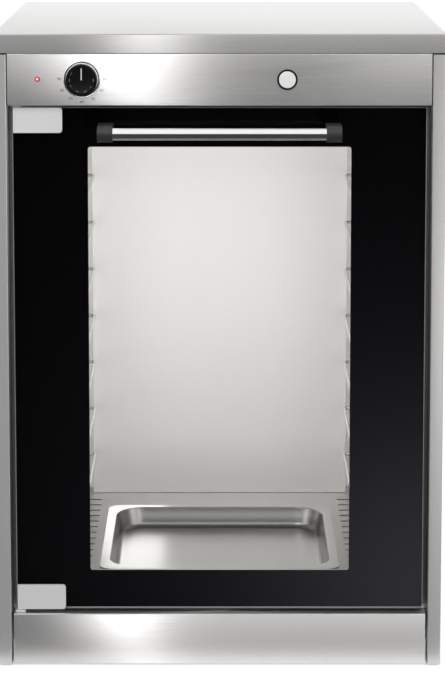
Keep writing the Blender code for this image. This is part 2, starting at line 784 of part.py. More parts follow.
def build_cavity_walls(looks, datum):
    """Fold the cavity's side walls, each flanged outwards at its foot and head."""
    low = FLOOR_HEIGHT + SEAT_GAP
    outer = CAVITY_HALF + SHEET
    flange = outer + WALL_FLANGE
    outline = (
        (CAVITY_HALF, low), (CAVITY_HALF, CEILING), (flange, CEILING), (flange, CEILING - SHEET),
        (outer, CEILING - SHEET), (outer, low + SHEET), (flange, low + SHEET), (flange, low),
    )
    for name, side in (("cavity_wall_left", -1), ("cavity_wall_right", 1)):
        mirrored = [(side * across, height) for across, height in outline]
        body = prism(mirrored, "Y", CAVITY_FRONT, REAR_WALL - SEAT_GAP)
        add_piece(name, body, looks["bright"], datum)


def build_cavity_shell(looks, datum):
    """Cut the cavity's ceiling and rear wall, which stands on the base pan."""
    half = CAVITY_HALF + SHEET + WALL_FLANGE
    low = CEILING + SEAT_GAP
    ceiling = block((-half, CAVITY_FRONT, low), (half, REAR_WALL - SEAT_GAP, low + SHEET))
    add_piece("cavity_ceiling", ceiling, looks["bright"], datum)
    wall = block(
        (-half, REAR_WALL, PAN_FLOOR + SEAT_GAP), (half, REAR_WALL + SHEET, low + SHEET)
    )
    add_piece("cavity_rear_wall", wall, looks["bright"], datum)


def build_air_baffle(looks, datum):
    """Fold the air baffle, whose side returns stand it off the rear wall."""
    back = REAR_WALL - SEAT_GAP
    inner = BAFFLE_HALF - SHEET
    outline = (
        (-BAFFLE_HALF, back), (-BAFFLE_HALF, BAFFLE_FRONT), (BAFFLE_HALF, BAFFLE_FRONT),
        (BAFFLE_HALF, back), (inner, back), (inner, BAFFLE_FRONT + SHEET),
        (-inner, BAFFLE_FRONT + SHEET), (-inner, back),
    )
    body = prism(outline, "Z", FLOOR_HEIGHT + SEAT_GAP, CEILING - BAFFLE_TOP_GAP)
    add_piece("air_baffle", body, looks["bright"], datum)


def slot_outline(side, depth):
    """Give one floor slot's outline, a bar with round ends."""
    inner = TRAY_HALF + SLOT_INNER_STRIP
    outer = CAVITY_HALF - SLOT_WALL_STRIP
    ends = sorted((side * inner, side * outer))
    half = SLOT_WIDTH / 2
    return rounded(ends[0], ends[1], depth - half, depth + half, half, SLOT_END_STEPS)


def build_cavity_floor(looks, datum):
    """Cut the cavity's floor, with the tray opening, the air slots and the return hole."""
    half = CAVITY_HALF + SHEET + WALL_FLANGE
    low = FLOOR_HEIGHT - SHEET
    body = block((-half, CAVITY_FRONT, low), (half, REAR_WALL - SEAT_GAP, FLOOR_HEIGHT))
    floor = add_piece("cavity_floor", body, looks["bright"], datum)
    start = low - CUT_OVERRUN
    end = FLOOR_HEIGHT + CUT_OVERRUN
    inset = TRAY_RIM - TRAY_HOLE_CLEARANCE
    opening = rounded(
        inset - TRAY_HALF, TRAY_HALF - inset, TRAY_FRONT + inset, TRAY_REAR - inset,
        TRAY_BOWL_CORNER,
    )
    cut(floor, prism(opening, "Z", start, end))
    rearmost = BAFFLE_FRONT - SLOT_REAR_STRIP
    count = 1 + int((rearmost - SLOT_FRONT_STRIP) / SLOT_PITCH)
    slots = bmesh.new()
    for side in (-1, 1):
        for index in range(count):
            prism(slot_outline(side, rearmost - index * SLOT_PITCH), "Z", start, end, slots)
    hole_half = RETURN_HOLE_WIDTH / 2
    block(
        (-hole_half, BAFFLE_FRONT + SHEET + RETURN_HOLE_MARGIN, start),
        (hole_half, REAR_WALL - RETURN_HOLE_MARGIN, end), slots,
    )
    cut(floor, slots)


def tray_ring(inset, corner, height):
    """Give the water tray's outline, drawn in by inset, at a height."""
    outline = rounded(
        inset - TRAY_HALF, TRAY_HALF - inset, TRAY_FRONT + inset, TRAY_REAR - inset, corner
    )
    return placed(outline, "Z", height)


def build_water_tray(looks, carrier):
    """Draw the pressed water tray: a flat rim, a shoulder and a bowl with a rounded foot."""
    under = FLOOR_HEIGHT + SEAT_GAP
    rim = under + TRAY_SHEET
    foot = rim - TRAY_BOWL_DEPTH
    shoulder = TRAY_RIM + TRAY_STEP_WIDTH
    base = shoulder + TRAY_DRAFT
    inner_rows = (
        (TRAY_RIM, TRAY_BOWL_CORNER, rim),
        (TRAY_RIM, TRAY_BOWL_CORNER, rim - TRAY_STEP_DROP),
        (shoulder, TRAY_BOWL_CORNER, rim - TRAY_STEP_DROP - TRAY_STEP_WIDTH),
        (base, TRAY_BOWL_CORNER, foot + TRAY_BOTTOM_ROUND),
        (base + TRAY_BOTTOM_ROUND, TRAY_BOWL_CORNER - TRAY_BOTTOM_ROUND, foot),
    )
    outer_rows = [(inset - TRAY_SHEET, corner + TRAY_SHEET, height - TRAY_SHEET)
                  for inset, corner, height in inner_rows]
    rings = [tray_ring(*row) for row in reversed(inner_rows)]
    rings.append(tray_ring(0, TRAY_OUTER_CORNER, rim))
    rings.append(tray_ring(0, TRAY_OUTER_CORNER, under))
    rings.extend(tray_ring(*row) for row in outer_rows)
    add_piece("water_tray", loft(rings), looks["bright"], carrier)


def build_racks(looks, datum):
    """Weld the racks: on each side a wire loop with eight U-shaped rails."""
    for name, side in (("rack_left", -1), ("rack_right", 1)):
        across = side * UPRIGHT_X
        corners = (
            (across, RACK_FRONT, RACK_BOTTOM), (across, RACK_REAR, RACK_BOTTOM),
            (across, RACK_REAR, RACK_TOP), (across, RACK_FRONT, RACK_TOP),
        )
        loop = wire(rounded_path(corners, WIRE_BEND, True), WIRE_RADIUS, Vector((1, 0, 0)), True)
        rack = add_piece(name, loop, looks["chrome"], datum)
        rails = []
        for index in range(RAIL_COUNT):
            height = FIRST_RAIL + index * RAIL_PITCH
            path = (
                (across, RACK_FRONT, height), (side * RAIL_X, RACK_FRONT, height),
                (side * RAIL_X, RACK_REAR, height), (across, RACK_REAR, height),
            )
            rails.append(wire(rounded_path(path, WIRE_BEND), WIRE_RADIUS, Vector((0, 0, 1))))
        fuse(rack, merge(rails))


def build_rack_studs(looks, datum):
    """Turn the headed studs on the walls that the racks hang on."""
    height = RACK_TOP - WIRE_RADIUS - SEAT_GAP - STUD_NECK_RADIUS
    head_face = UPRIGHT_X - WIRE_RADIUS - SEAT_GAP
    wall = CAVITY_HALF - SEAT_GAP
    for side, side_name in ((-1, "left"), (1, "right")):
        profile = (
            (0, side * wall), (STUD_NECK_RADIUS, side * wall),
            (STUD_NECK_RADIUS, side * head_face), (STUD_HEAD_RADIUS, side * head_face),
            (STUD_HEAD_RADIUS, side * (head_face - STUD_HEAD_THICKNESS)),
            (0, side * (head_face - STUD_HEAD_THICKNESS)),
        )
        for depth, row_name in ((RACK_FRONT + STUD_INSET, "front"), (RACK_REAR - STUD_INSET, "rear")):
            body = turn(profile, (0, depth, height), "X", steps=SMALL_ROUND_STEPS)
            add_piece(f"rack_stud_{row_name}_{side_name}", body, looks["bright"], datum)


def build_seal(looks, datum):
    """Extrude the door seal round the cavity's mouth."""
    inner = CAVITY_HALF - SHEET + SEAL_LAP
    low = MOUTH_BOTTOM - SEAL_LAP
    high = MOUTH_TOP + SEAL_LAP
    front = DOOR_BACK
    back = FRAME_SETBACK - SEAT_GAP
    lip = SEAL_WIDTH * SEAL_LIP_SHARE
    rows = ((0, back), (SEAL_WIDTH, back), (SEAL_WIDTH - lip, front), (lip, front))
    rings = [
        frame_ring(inner + out, low - out, high + out, depth, SEAL_CORNER + out)
        for out, depth in rows
    ]
    add_piece("door_seal", loft(rings, closed=True), looks["rubber"], datum)


def mirrored_height(height, upper):
    """Take a height measured down from the door's top, or up from its bottom when not upper."""
    return GLASS_TOP - height if upper else GLASS_BOTTOM + height


def corner_block(start_x, end_x, front, back, near, far, upper):
    """Draw a box near the door's top or bottom, with heights measured inwards from that edge."""
    heights = sorted((mirrored_height(near, upper), mirrored_height(far, upper)))
    return block((start_x, front, heights[0]), (end_x, back, heights[1]))


def pivot_post(radius, start, end, upper):
    """Draw a round post on the pivot axis, with heights measured inwards from the door's edge."""
    heights = sorted((mirrored_height(start, upper), mirrored_height(end, upper)))
    profile = ((0, heights[0]), (radius, heights[0]), (radius, heights[1]), (0, heights[1]))
    return turn(profile, (PIVOT_X, PIVOT_SETBACK, 0), "Z", steps=SMALL_ROUND_STEPS)


def hinge_notch(upper):
    """Draw the notch that the pivot block fills in the corner of the glass."""
    left = -GLASS_HALF - CUT_OVERRUN
    right = -GLASS_HALF + BLOCK_EDGE + BLOCK_WIDTH + SEAT_GAP
    front = GLASS_SETBACK - CUT_OVERRUN
    back = BORDER_BACK + CUT_OVERRUN
    return corner_block(left, right, front, back, -CUT_OVERRUN, BLOCK_HEIGHT + SEAT_GAP, upper)


def handle_hole(side):
    """Draw the hole for a handle screw through the glass and its border."""
    radius = HANDLE_SCREW_RADIUS + SCREW_CLEARANCE
    start = GLASS_SETBACK - CUT_OVERRUN
    end = BORDER_BACK + CUT_OVERRUN
    profile = ((0, start), (radius, start), (radius, end), (0, end))
    return turn(profile, (side * MOUNT_X, 0, HANDLE_HEIGHT), steps=SMALL_ROUND_STEPS)


def build_door_glass(looks, door):
    """Cut the glass, with small arrises, notched corners and two holes for the handle."""
    rows = (
        (GLASS_ARRIS, GLASS_SETBACK), (0, GLASS_SETBACK + GLASS_ARRIS),
        (0, GLASS_BACK - GLASS_ARRIS), (GLASS_ARRIS, GLASS_BACK),
    )
    rings = [
        frame_ring(
            GLASS_HALF - inset, GLASS_BOTTOM + inset, GLASS_TOP - inset, depth,
            GLASS_CORNER - inset,
        )
        for inset, depth in rows
    ]
    glass = add_piece("door_glass", loft(rings), looks["glass"], door)
    cut_door_openings(glass)


def cut_door_openings(piece):
    """Cut the hinge notches and handle holes that the glass and its border share."""
    for upper in (True, False):
        cut(piece, hinge_notch(upper))
    for side in (-1, 1):
        cut(piece, handle_hole(side))


def build_glass_border(looks, door):
    """Lay the black enamel border behind the glass, open at the window."""
    outer = GLASS_HALF - BORDER_INSET
    low = GLASS_BOTTOM + BORDER_INSET
    high = GLASS_TOP - BORDER_INSET
    rings = []
    for depth in (BORDER_FRONT, BORDER_BACK):
        rings.append((frame_ring(outer, low, high, depth, GLASS_CORNER),
                      frame_ring(WINDOW_HALF, WINDOW_BOTTOM, WINDOW_TOP, depth, GLASS_CORNER)))
    (outer_front, inner_front), (outer_back, inner_back) = rings
    body = loft((outer_front, inner_front, inner_back, outer_back), closed=True)
    border = add_piece("glass_border", body, looks["enamel"], door)
    cut_door_openings(border)


def hinge_outline(upper):
    """Give a hinge plate's outline, rounded at the corners away from the pivot."""
    left = -GLASS_HALF + HINGE_EDGE
    heights = sorted((mirrored_height(0, upper), mirrored_height(HINGE_HEIGHT, upper)))
    outline = rounded(left, left + HINGE_LENGTH, heights[0], heights[1], HINGE_CORNER)
    middle_x = left + HINGE_LENGTH / 2
    right_side = [point for point in outline if point[0] > middle_x]
    return right_side + [(left, heights[1]), (left, heights[0])]


def build_hinge_plates(looks, door):
    """Make the outer hinge plates, each with a bored pivot block behind it."""
    front = GLASS_SETBACK - SEAT_GAP - HINGE_THICKNESS
    left = -GLASS_HALF + BLOCK_EDGE
    for name, upper in (("hinge_plate_upper", True), ("hinge_plate_lower", False)):
        plate = prism(hinge_outline(upper), "Y", front, GLASS_SETBACK - SEAT_GAP)
        piece = add_piece(name, plate, looks["satin"], door)
        fuse(piece, corner_block(
            left + HINGE_EDGE - BLOCK_EDGE, left + BLOCK_WIDTH, front + SHEET, BORDER_BACK,
            SHEET, BLOCK_HEIGHT, upper,
        ))
        bore = PIVOT_RADIUS + PIVOT_CLEARANCE
        cut(piece, pivot_post(bore, -CUT_OVERRUN, PIVOT_LENGTH + SEAT_GAP, upper))


def build_hinge_clamps(looks, door):
    """Cut the inner plates that clamp the glass from behind."""
    for name, upper in (("hinge_clamp_upper", True), ("hinge_clamp_lower", False)):
        body = prism(hinge_outline(upper), "Y", DOOR_BACK, DOOR_BACK + CLAMP_THICKNESS)
        add_piece(name, body, looks["satin"], door)


def build_hinge_brackets(looks, datum):
    """Make the fixed tongues that carry the pivot pins, above and below the door."""
    left = PIVOT_X - TONGUE_WIDTH / 2
    right = PIVOT_X + TONGUE_WIDTH / 2
    back = FRAME_SETBACK - SEAT_GAP
    high = PANEL_BOTTOM - SEAT_GAP
    upper_tongue = block((left, TONGUE_FRONT, high - TONGUE_THICKNESS), (right, back, high))
    upper = add_piece("hinge_bracket_upper", upper_tongue, looks["satin"], datum)
    fuse(upper, pivot_post(PIVOT_RADIUS, -DOOR_TOP_GAP / 2, PIVOT_LENGTH, True))
    low = PLINTH_HEIGHT + SEAT_GAP
    top = low + LOWER_TONGUE_THICKNESS
    lower_tongue = block((left, TONGUE_FRONT, low), (right, back, top))
    lower = add_piece("hinge_bracket_lower", lower_tongue, looks["satin"], datum)
    fuse(lower, pivot_post(COLLAR_RADIUS, top - GLASS_BOTTOM - SHEET, -SEAT_GAP, False))
    fuse(lower, pivot_post(PIVOT_RADIUS, -SHEET, PIVOT_LENGTH, False))


def mount_outline():
    """Give the handle mount's side view: a block with a round nose about the bar."""
    radius = MOUNT_HEIGHT / 2
    back = GLASS_SETBACK - SEAT_GAP
    outline = [(back, HANDLE_HEIGHT - radius), (back, HANDLE_HEIGHT + radius)]
    for step in range(MOUNT_ROUND_STEPS + 1):
        angle = math.pi * (1 / 2 - step / MOUNT_ROUND_STEPS)
        outline.append((
            -HANDLE_STANDOFF - radius * math.cos(angle), HANDLE_HEIGHT + radius * math.sin(angle)
        ))
    return outline


def build_handle(looks, door):
    """Make the handle: a round bar held in sockets by two mounts, screwed from behind."""
    centre = (0, -HANDLE_STANDOFF, HANDLE_HEIGHT)
    socket = HANDLE_END - MOUNT_WIDTH + BAR_SOCKET
    bar = ((0, -socket), (HANDLE_BAR_RADIUS, -socket), (HANDLE_BAR_RADIUS, socket), (0, socket))
    add_piece("handle_bar", turn(bar, centre, "X"), looks["chrome"], door)
    bore = HANDLE_BAR_RADIUS + BAR_CLEARANCE
    screw_end = GLASS_BACK - GLASS_THICKNESS - SEAT_GAP - HANDLE_SCREW_REACH
    hole = HANDLE_SCREW_RADIUS + BAR_CLEARANCE
    for side, side_name in ((-1, "left"), (1, "right")):
        inner, outer = sorted((side * (HANDLE_END - MOUNT_WIDTH), side * HANDLE_END))
        body = prism(mount_outline(), "X", inner, outer)
        mount = add_piece(f"handle_mount_{side_name}", body, looks["mount"], door)
        near = side * (HANDLE_END - MOUNT_WIDTH - CUT_OVERRUN)
        far = side * (socket + SEAT_GAP)
        cut(mount, turn(((0, near), (bore, near), (bore, far), (0, far)), centre, "X"))
        place = (side * MOUNT_X, 0, HANDLE_HEIGHT)
        deep = screw_end - SEAT_GAP
        start = GLASS_SETBACK + CUT_OVERRUN
        pocket = ((0, deep), (hole, deep), (hole, start), (0, start))
        cut(mount, turn(pocket, place, steps=SMALL_ROUND_STEPS))
        shank = HANDLE_SCREW_RADIUS
        head = HANDLE_SCREW_HEAD_RADIUS
        screw = (
            (0, screw_end), (shank, screw_end), (shank, DOOR_BACK), (head, DOOR_BACK),
            (head, DOOR_BACK + HANDLE_SCREW_HEAD), (0, DOOR_BACK + HANDLE_SCREW_HEAD),
        )
        body = turn(screw, place, steps=SMALL_ROUND_STEPS)
        add_piece(f"handle_screw_{side_name}", body, looks["zinc"], door)


def build_catch(looks, datum, door):
    """Make the magnet catch on the front frame and its strike on the door."""
    strike_back = DOOR_BACK + STRIKE_THICKNESS
    low = CATCH_HEIGHT_PLACE - CATCH_HEIGHT / 2
    magnet = block(
        (CATCH_X - CATCH_WIDTH / 2, strike_back + SEAT_GAP, low),
        (CATCH_X + CATCH_WIDTH / 2, FRAME_SETBACK - SEAT_GAP, low + CATCH_HEIGHT),
    )
    add_piece("magnet_catch", magnet, looks["mount"], datum)
    low = CATCH_HEIGHT_PLACE - STRIKE_HEIGHT / 2
    strike = block(
        (CATCH_X - STRIKE_WIDTH / 2, DOOR_BACK, low),
        (CATCH_X + STRIKE_WIDTH / 2, strike_back, low + STRIKE_HEIGHT),
    )
    add_piece("catch_strike", strike, looks["zinc"], door)


def build_thermostat(looks, datum, knob_pivot):
    """Make the thermostat: its body and shaft, the chrome ring and the knob."""
    centre = (KNOB_X, 0, CONTROL_HEIGHT)
    half = THERMOSTAT_SIZE / 2
    front = SHEET + SEAT_GAP
    case = block(
        (KNOB_X - half, front, CONTROL_HEIGHT - half),
        (KNOB_X + half, front + THERMOSTAT_LENGTH, CONTROL_HEIGHT + half),
    )
    thermostat = add_piece("thermostat_body", case, looks["mount"], datum)
    back = front + SHEET
    shaft = ((0, -SHAFT_REACH), (SHAFT_RADIUS, -SHAFT_REACH), (SHAFT_RADIUS, back), (0, back))
    fuse(thermostat, turn(shaft, centre, steps=SMALL_ROUND_STEPS))
    ring = (
        (BEZEL_BORE, -SEAT_GAP), (BEZEL_RADIUS, -SEAT_GAP), (BEZEL_RADIUS, -BEZEL_PROUD / 2),
        (BEZEL_RADIUS - BEZEL_PROUD / 2, -BEZEL_PROUD), (BEZEL_BORE, -BEZEL_PROUD),
    )
    add_piece("knob_bezel", turn(ring, centre, bored=True), looks["chrome"], datum)
    bore = SHAFT_RADIUS + SEAT_GAP
    deep = -SHAFT_REACH - SEAT_GAP
    knob = (
        (0, KNOB_DISH - KNOB_FRONT), (KNOB_RADIUS - KNOB_EDGE * 2, KNOB_DISH - KNOB_FRONT),
        (KNOB_RADIUS - KNOB_EDGE, -KNOB_FRONT), (KNOB_RADIUS, KNOB_EDGE - KNOB_FRONT),
        (KNOB_RADIUS, -KNOB_BACK), (bore, -KNOB_BACK), (bore, deep), (0, deep),
    )
    piece = add_piece("thermostat_knob", turn(knob, centre), looks["black"], knob_pivot, centre)
    cut(piece, block(
        (KNOB_X - POINTER_WIDTH / 2, -KNOB_FRONT - CUT_OVERRUN, CONTROL_HEIGHT),
        (KNOB_X + POINTER_WIDTH / 2, KNOB_DISH * 2 - KNOB_FRONT, CONTROL_HEIGHT + POINTER_LENGTH),
    ))


def build_lamp(looks, datum):
    """Turn the pilot lamp, which passes through the control panel."""
    profile = (
        (0, LAMP_LENGTH), (LAMP_RADIUS, LAMP_LENGTH), (LAMP_RADIUS, -SEAT_GAP),
        (LAMP_FLANGE, -SEAT_GAP), (LAMP_FLANGE, -LAMP_PROUD / 2),
        (LAMP_FLANGE / 2, -LAMP_PROUD), (0, -LAMP_PROUD),
    )
    body = turn(profile, (LAMP_X, 0, CONTROL_HEIGHT), steps=SMALL_ROUND_STEPS)
    add_piece("pilot_lamp", body, looks["red"], datum)


def build_switch(looks, datum, button_guide):
    """Turn the switch body with its ring, and the push button that slides in it."""
    centre = (BUTTON_X, 0, BUTTON_HEIGHT)
    bore = BUTTON_RADIUS + SWITCH_WALL_CLEARANCE
    button_back = BUTTON_LENGTH - BUTTON_PROUD
    floor = button_back + BUTTON_TRAVEL + SEAT_GAP
    switch = (
        (0, SWITCH_LENGTH), (SWITCH_BARREL_RADIUS, SWITCH_LENGTH),
        (SWITCH_BARREL_RADIUS, -SEAT_GAP), (SWITCH_FLANGE_RADIUS, -SEAT_GAP),
        (SWITCH_FLANGE_RADIUS, -SWITCH_FLANGE / 2),
        (SWITCH_FLANGE_RADIUS - SWITCH_FLANGE / 2, -SWITCH_FLANGE),
        (bore, -SWITCH_FLANGE), (bore, floor), (0, floor),
    )
    add_piece("switch_body", turn(switch, centre), looks["black"], datum)
    button = (
        (0, button_back), (BUTTON_RADIUS, button_back),
        (BUTTON_RADIUS, BUTTON_DOME * 2 - BUTTON_PROUD),
        (BUTTON_RADIUS - BUTTON_DOME * 2, BUTTON_DOME - BUTTON_PROUD), (0, -BUTTON_PROUD),
    )
    add_piece("push_button", turn(button, centre), looks["white"], button_guide, centre)


def build_heater(looks, datum):
    """Bend the heating element under the water tray and fold the bracket that carries it."""
    outer = HEATER_LEG_SPACING * 3 / 2
    inner = HEATER_LEG_SPACING / 2
    corners = (
        (-outer, HEATER_TAIL), (-outer, HEATER_FRONT), (-inner, HEATER_FRONT),
        (-inner, HEATER_REAR), (inner, HEATER_REAR), (inner, HEATER_FRONT),
        (outer, HEATER_FRONT), (outer, HEATER_TAIL),
    )
    path = rounded_path(placed(corners, "Z", HEATER_HEIGHT), HEATER_BEND)
    body = wire(path, HEATER_RADIUS, Vector((0, 0, 1)))
    add_piece("heating_element", body, looks["zinc"], datum)
    front = HEATER_BRACKET_PLACE
    back = front + HEATER_BRACKET_DEPTH
    low = PAN_FLOOR + SEAT_GAP
    high = HEATER_HEIGHT - HEATER_RADIUS - SEAT_GAP
    outline = (
        (front, low), (front, high), (back, high), (back, low), (back - SHEET, low),
        (back - SHEET, high - SHEET), (front + SHEET, high - SHEET), (front + SHEET, low),
    )
    half = HEATER_BRACKET_WIDTH / 2
    add_piece("heater_bracket", prism(outline, "X", -half, half), looks["zinc"], datum)


def build_fan(looks, datum, fan_spindle):
    """Make the circulation fan: a square frame with a motor hub on struts, and the impeller."""
    half = FAN_SIZE / 2
    centre = (0, 0, FAN_HEIGHT)
    body = block((-half, FAN_FRONT, FAN_BASE), (half, FAN_REAR, FAN_BASE + FAN_SIZE))
    frame = add_piece("fan_frame", body, looks["mount"], datum)
    start = FAN_FRONT - CUT_OVERRUN
    end = FAN_REAR + CUT_OVERRUN
    bore = ((0, start), (FAN_BORE_RADIUS, start), (FAN_BORE_RADIUS, end), (0, end))
    cut(frame, turn(bore, centre))
    motor_front = FAN_REAR - FAN_MOTOR_DEPTH
    hub = ((0, motor_front), (FAN_HUB_RADIUS, motor_front), (FAN_HUB_RADIUS, FAN_REAR), (0, FAN_REAR))
    fuse(frame, turn(hub, centre))
    thick = FAN_STRUT_WIDTH / 2
    fuse(frame, block(
        (-FAN_BORE_RADIUS - SHEET, motor_front + SHEET, FAN_HEIGHT - thick),
        (FAN_BORE_RADIUS + SHEET, FAN_REAR - SHEET, FAN_HEIGHT + thick),
    ))
    fuse(frame, block(
        (-thick, motor_front + SHEET, FAN_HEIGHT - FAN_BORE_RADIUS - SHEET),
        (thick, FAN_REAR - SHEET, FAN_HEIGHT + FAN_BORE_RADIUS + SHEET),
    ))
    near = FAN_FRONT + FAN_SPIN_GAP
    far = motor_front - SEAT_GAP
    spinner = ((0, near), (FAN_HUB_RADIUS, near), (FAN_HUB_RADIUS, far), (0, far))
    mid = (near + far) / 2
    place = (0, mid, FAN_HEIGHT)
    impeller = add_piece("fan_impeller", turn(spinner, centre), looks["black"], fan_spindle, place)
    fuse(impeller, fan_blades(mid))


def fan_blades(mid):
    """Draw the impeller's pitched blades, apart from each other, about its hub."""
    root = FAN_HUB_RADIUS * BLADE_ROOT_SHARE
    tip = FAN_BORE_RADIUS - BLADE_TIP_GAP
    along = BLADE_CHORD / 2 * math.cos(BLADE_PITCH)
    across = BLADE_CHORD / 2 * math.sin(BLADE_PITCH)
    thick = BLADE_THICKNESS / 2
    outline = (
        (across - thick, along), (across + thick, along),
        (-across + thick, -along), (-across - thick, -along),
    )
    blades = []
    for index in range(BLADE_COUNT):
        angle = 2 * math.pi * index / BLADE_COUNT
        outward = Vector((math.sin(angle), 0, math.cos(angle)))
        sideways = Vector((math.cos(angle), 0, -math.sin(angle)))
        rings = []
        for radius in (root, tip):
            base = Vector((0, mid, FAN_HEIGHT)) + outward * radius
            rings.append([base + sideways * u + Vector((0, v, 0)) for u, v in outline])
        blades.append(loft(rings))
    return merge(blades)


def build_wiring(looks, datum):
    """Make the terminal block on the base pan and the cable gland in the rear panel."""
    low = PAN_FLOOR + SEAT_GAP
    top = low + TERMINAL_HEIGHT
    left = TERMINAL_X - TERMINAL_WIDTH / 2
    body = block(
        (left, TERMINAL_PLACE, low),
        (left + TERMINAL_WIDTH, TERMINAL_PLACE + TERMINAL_DEPTH, top),
    )
    terminal = add_piece("terminal_block", body, looks["white"], datum)
    pitch = TERMINAL_WIDTH / TERMINAL_POLES
    floor = top - TERMINAL_WELL_DEPTH
    high = top + CUT_OVERRUN
    radius = TERMINAL_WELL_RADIUS
    well = ((0, floor), (radius, floor), (radius, high), (0, high))
    wells = bmesh.new()
    for index in range(TERMINAL_POLES):
        place = (left + pitch * (index + 1 / 2), TERMINAL_PLACE + TERMINAL_DEPTH / 2, 0)
        turn(well, place, "Z", steps=SMALL_ROUND_STEPS, body=wells)
    cut(terminal, wells)
    inside = REAR_PANEL_FRONT - SEAT_GAP
    outside = REAR_PANEL_BACK + SEAT_GAP
    hex_back = outside + GLAND_HEX_DEPTH
    dome_back = hex_back + GLAND_DOME_DEPTH
    profile = (
        (GLAND_BORE, inside - GLAND_NUT_DEPTH), (GLAND_HEX, inside - GLAND_NUT_DEPTH),
        (GLAND_HEX, inside), (GLAND_NECK, inside), (GLAND_NECK, outside), (GLAND_HEX, outside),
        (GLAND_HEX, hex_back), (GLAND_DOME, hex_back), (GLAND_DOME, dome_back - FOOT_CHAMFER),
        (GLAND_DOME - FOOT_CHAMFER, dome_back), (GLAND_BORE, dome_back),
    )
    gland = turn(profile, (GLAND_X, 0, GLAND_HEIGHT), bored=True, steps=SMALL_ROUND_STEPS)
    add_piece("cable_gland", gland, looks["black"], datum)


def build_probe(looks, datum):
    """Turn the temperature probe and fuse it to the clip on the rear wall."""
    centre_depth = REAR_WALL - PROBE_WALL_GAP - PROBE_RADIUS
    low = FLOOR_HEIGHT + PROBE_RISE
    high = low + PROBE_LENGTH
    tube = ((0, low), (PROBE_RADIUS, low), (PROBE_RADIUS, high), (0, high))
    body = turn(tube, (PROBE_X, centre_depth, 0), "Z", steps=SMALL_ROUND_STEPS)
    probe = add_piece("temperature_probe", body, looks["bright"], datum)
    middle_height = (low + high) / 2
    half_width = PROBE_CLIP_WIDTH / 2
    half_height = PROBE_CLIP_HEIGHT / 2
    fuse(probe, block(
        (PROBE_X - half_width, centre_depth - PROBE_RADIUS - SHEET, middle_height - half_height),
        (PROBE_X + half_width, REAR_WALL - SEAT_GAP, middle_height + half_height),
    ))


def main():
    """Build the whole cabinet on its datum."""
    clear_scene()
    looks = make_finishes()
    datum = add_empty("front_datum", (0, FRONT_Y, 0))
    door = add_empty("door_pivot", (PIVOT_X, PIVOT_SETBACK, GLASS_BOTTOM), datum)
    knob_pivot = add_empty("knob_pivot", (KNOB_X, 0, CONTROL_HEIGHT), datum)
    button_guide = add_empty("button_guide", (BUTTON_X, 0, BUTTON_HEIGHT), datum)
    fan_spindle = add_empty("fan_spindle", (0, FAN_REAR, FAN_HEIGHT), datum)
    tray_seat = add_empty("tray_seat", (0, TRAY_FRONT, FLOOR_HEIGHT), datum)
    build_worktop(looks, datum)
    build_side_panels(looks, datum)
    build_rear_panel(looks, datum)
    build_rear_screws(looks, datum)
    build_plinth(looks, datum)
    build_control_panel(looks, datum)
    build_top_rail(looks, datum)
    build_base_pan(looks, datum)
    build_feet(looks, datum)
    build_front_frame(looks, datum)
    build_cavity_walls(looks, datum)
    build_cavity_shell(looks, datum)
    build_air_baffle(looks, datum)
    build_cavity_floor(looks, datum)
    build_racks(looks, datum)
    build_rack_studs(looks, datum)
    build_seal(looks, datum)
    build_hinge_brackets(looks, datum)
    build_thermostat(looks, datum, knob_pivot)
    build_lamp(looks, datum)
    build_switch(looks, datum, button_guide)
    build_heater(looks, datum)
    build_fan(looks, datum, fan_spindle)
    build_wiring(looks, datum)
    build_probe(looks, datum)
    build_door_glass(looks, door)
    build_glass_border(looks, door)
    build_hinge_plates(looks, door)
    build_hinge_clamps(looks, door)
    build_handle(looks, door)
    build_catch(looks, datum, door)
    build_water_tray(looks, tray_seat)


main()
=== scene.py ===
"""Dress the proofing cabinet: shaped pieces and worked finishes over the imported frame, and a studio.

Everything is in metres in the frame's own axes: X across the front, Y from the front towards the
back, Z up from the ground. The front plane of the side panels lies at FRONT.
"""

import logging
import math
from collections.abc import Callable, Iterator, Sequence
from contextlib import contextmanager
from dataclasses import dataclass, field
from enum import Enum
from functools import lru_cache

import bmesh
import bpy
from mathutils import Matrix, Vector


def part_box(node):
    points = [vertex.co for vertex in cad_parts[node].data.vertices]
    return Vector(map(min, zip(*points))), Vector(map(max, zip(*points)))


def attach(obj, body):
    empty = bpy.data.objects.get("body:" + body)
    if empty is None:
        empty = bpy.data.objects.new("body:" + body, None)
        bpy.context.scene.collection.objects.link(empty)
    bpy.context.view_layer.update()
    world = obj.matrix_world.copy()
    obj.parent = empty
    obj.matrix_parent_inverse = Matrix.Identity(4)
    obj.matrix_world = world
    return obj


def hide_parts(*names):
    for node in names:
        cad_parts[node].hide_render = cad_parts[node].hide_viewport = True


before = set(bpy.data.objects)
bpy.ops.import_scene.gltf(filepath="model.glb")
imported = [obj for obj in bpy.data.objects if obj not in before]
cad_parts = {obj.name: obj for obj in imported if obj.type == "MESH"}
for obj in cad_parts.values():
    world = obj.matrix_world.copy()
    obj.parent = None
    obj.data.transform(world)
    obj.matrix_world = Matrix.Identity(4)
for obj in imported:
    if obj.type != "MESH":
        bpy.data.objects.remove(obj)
log = logging.getLogger("proofing_cabinet")

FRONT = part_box("side_panel_left")[0].y
WELD = 1e-6


class Grain(Enum):
    """The way in which a sheet was brushed, a little off the axis so that no face is end-on to it."""

    ACROSS = (1.0, 0.012, 0.004)
    UPRIGHT = (0.004, 0.012, 1.0)


class Pick(Enum):
    """What an edit-mode selection is made of."""

    VERTS = "VERT"
    EDGES = "EDGE"
    FACES = "FACE"


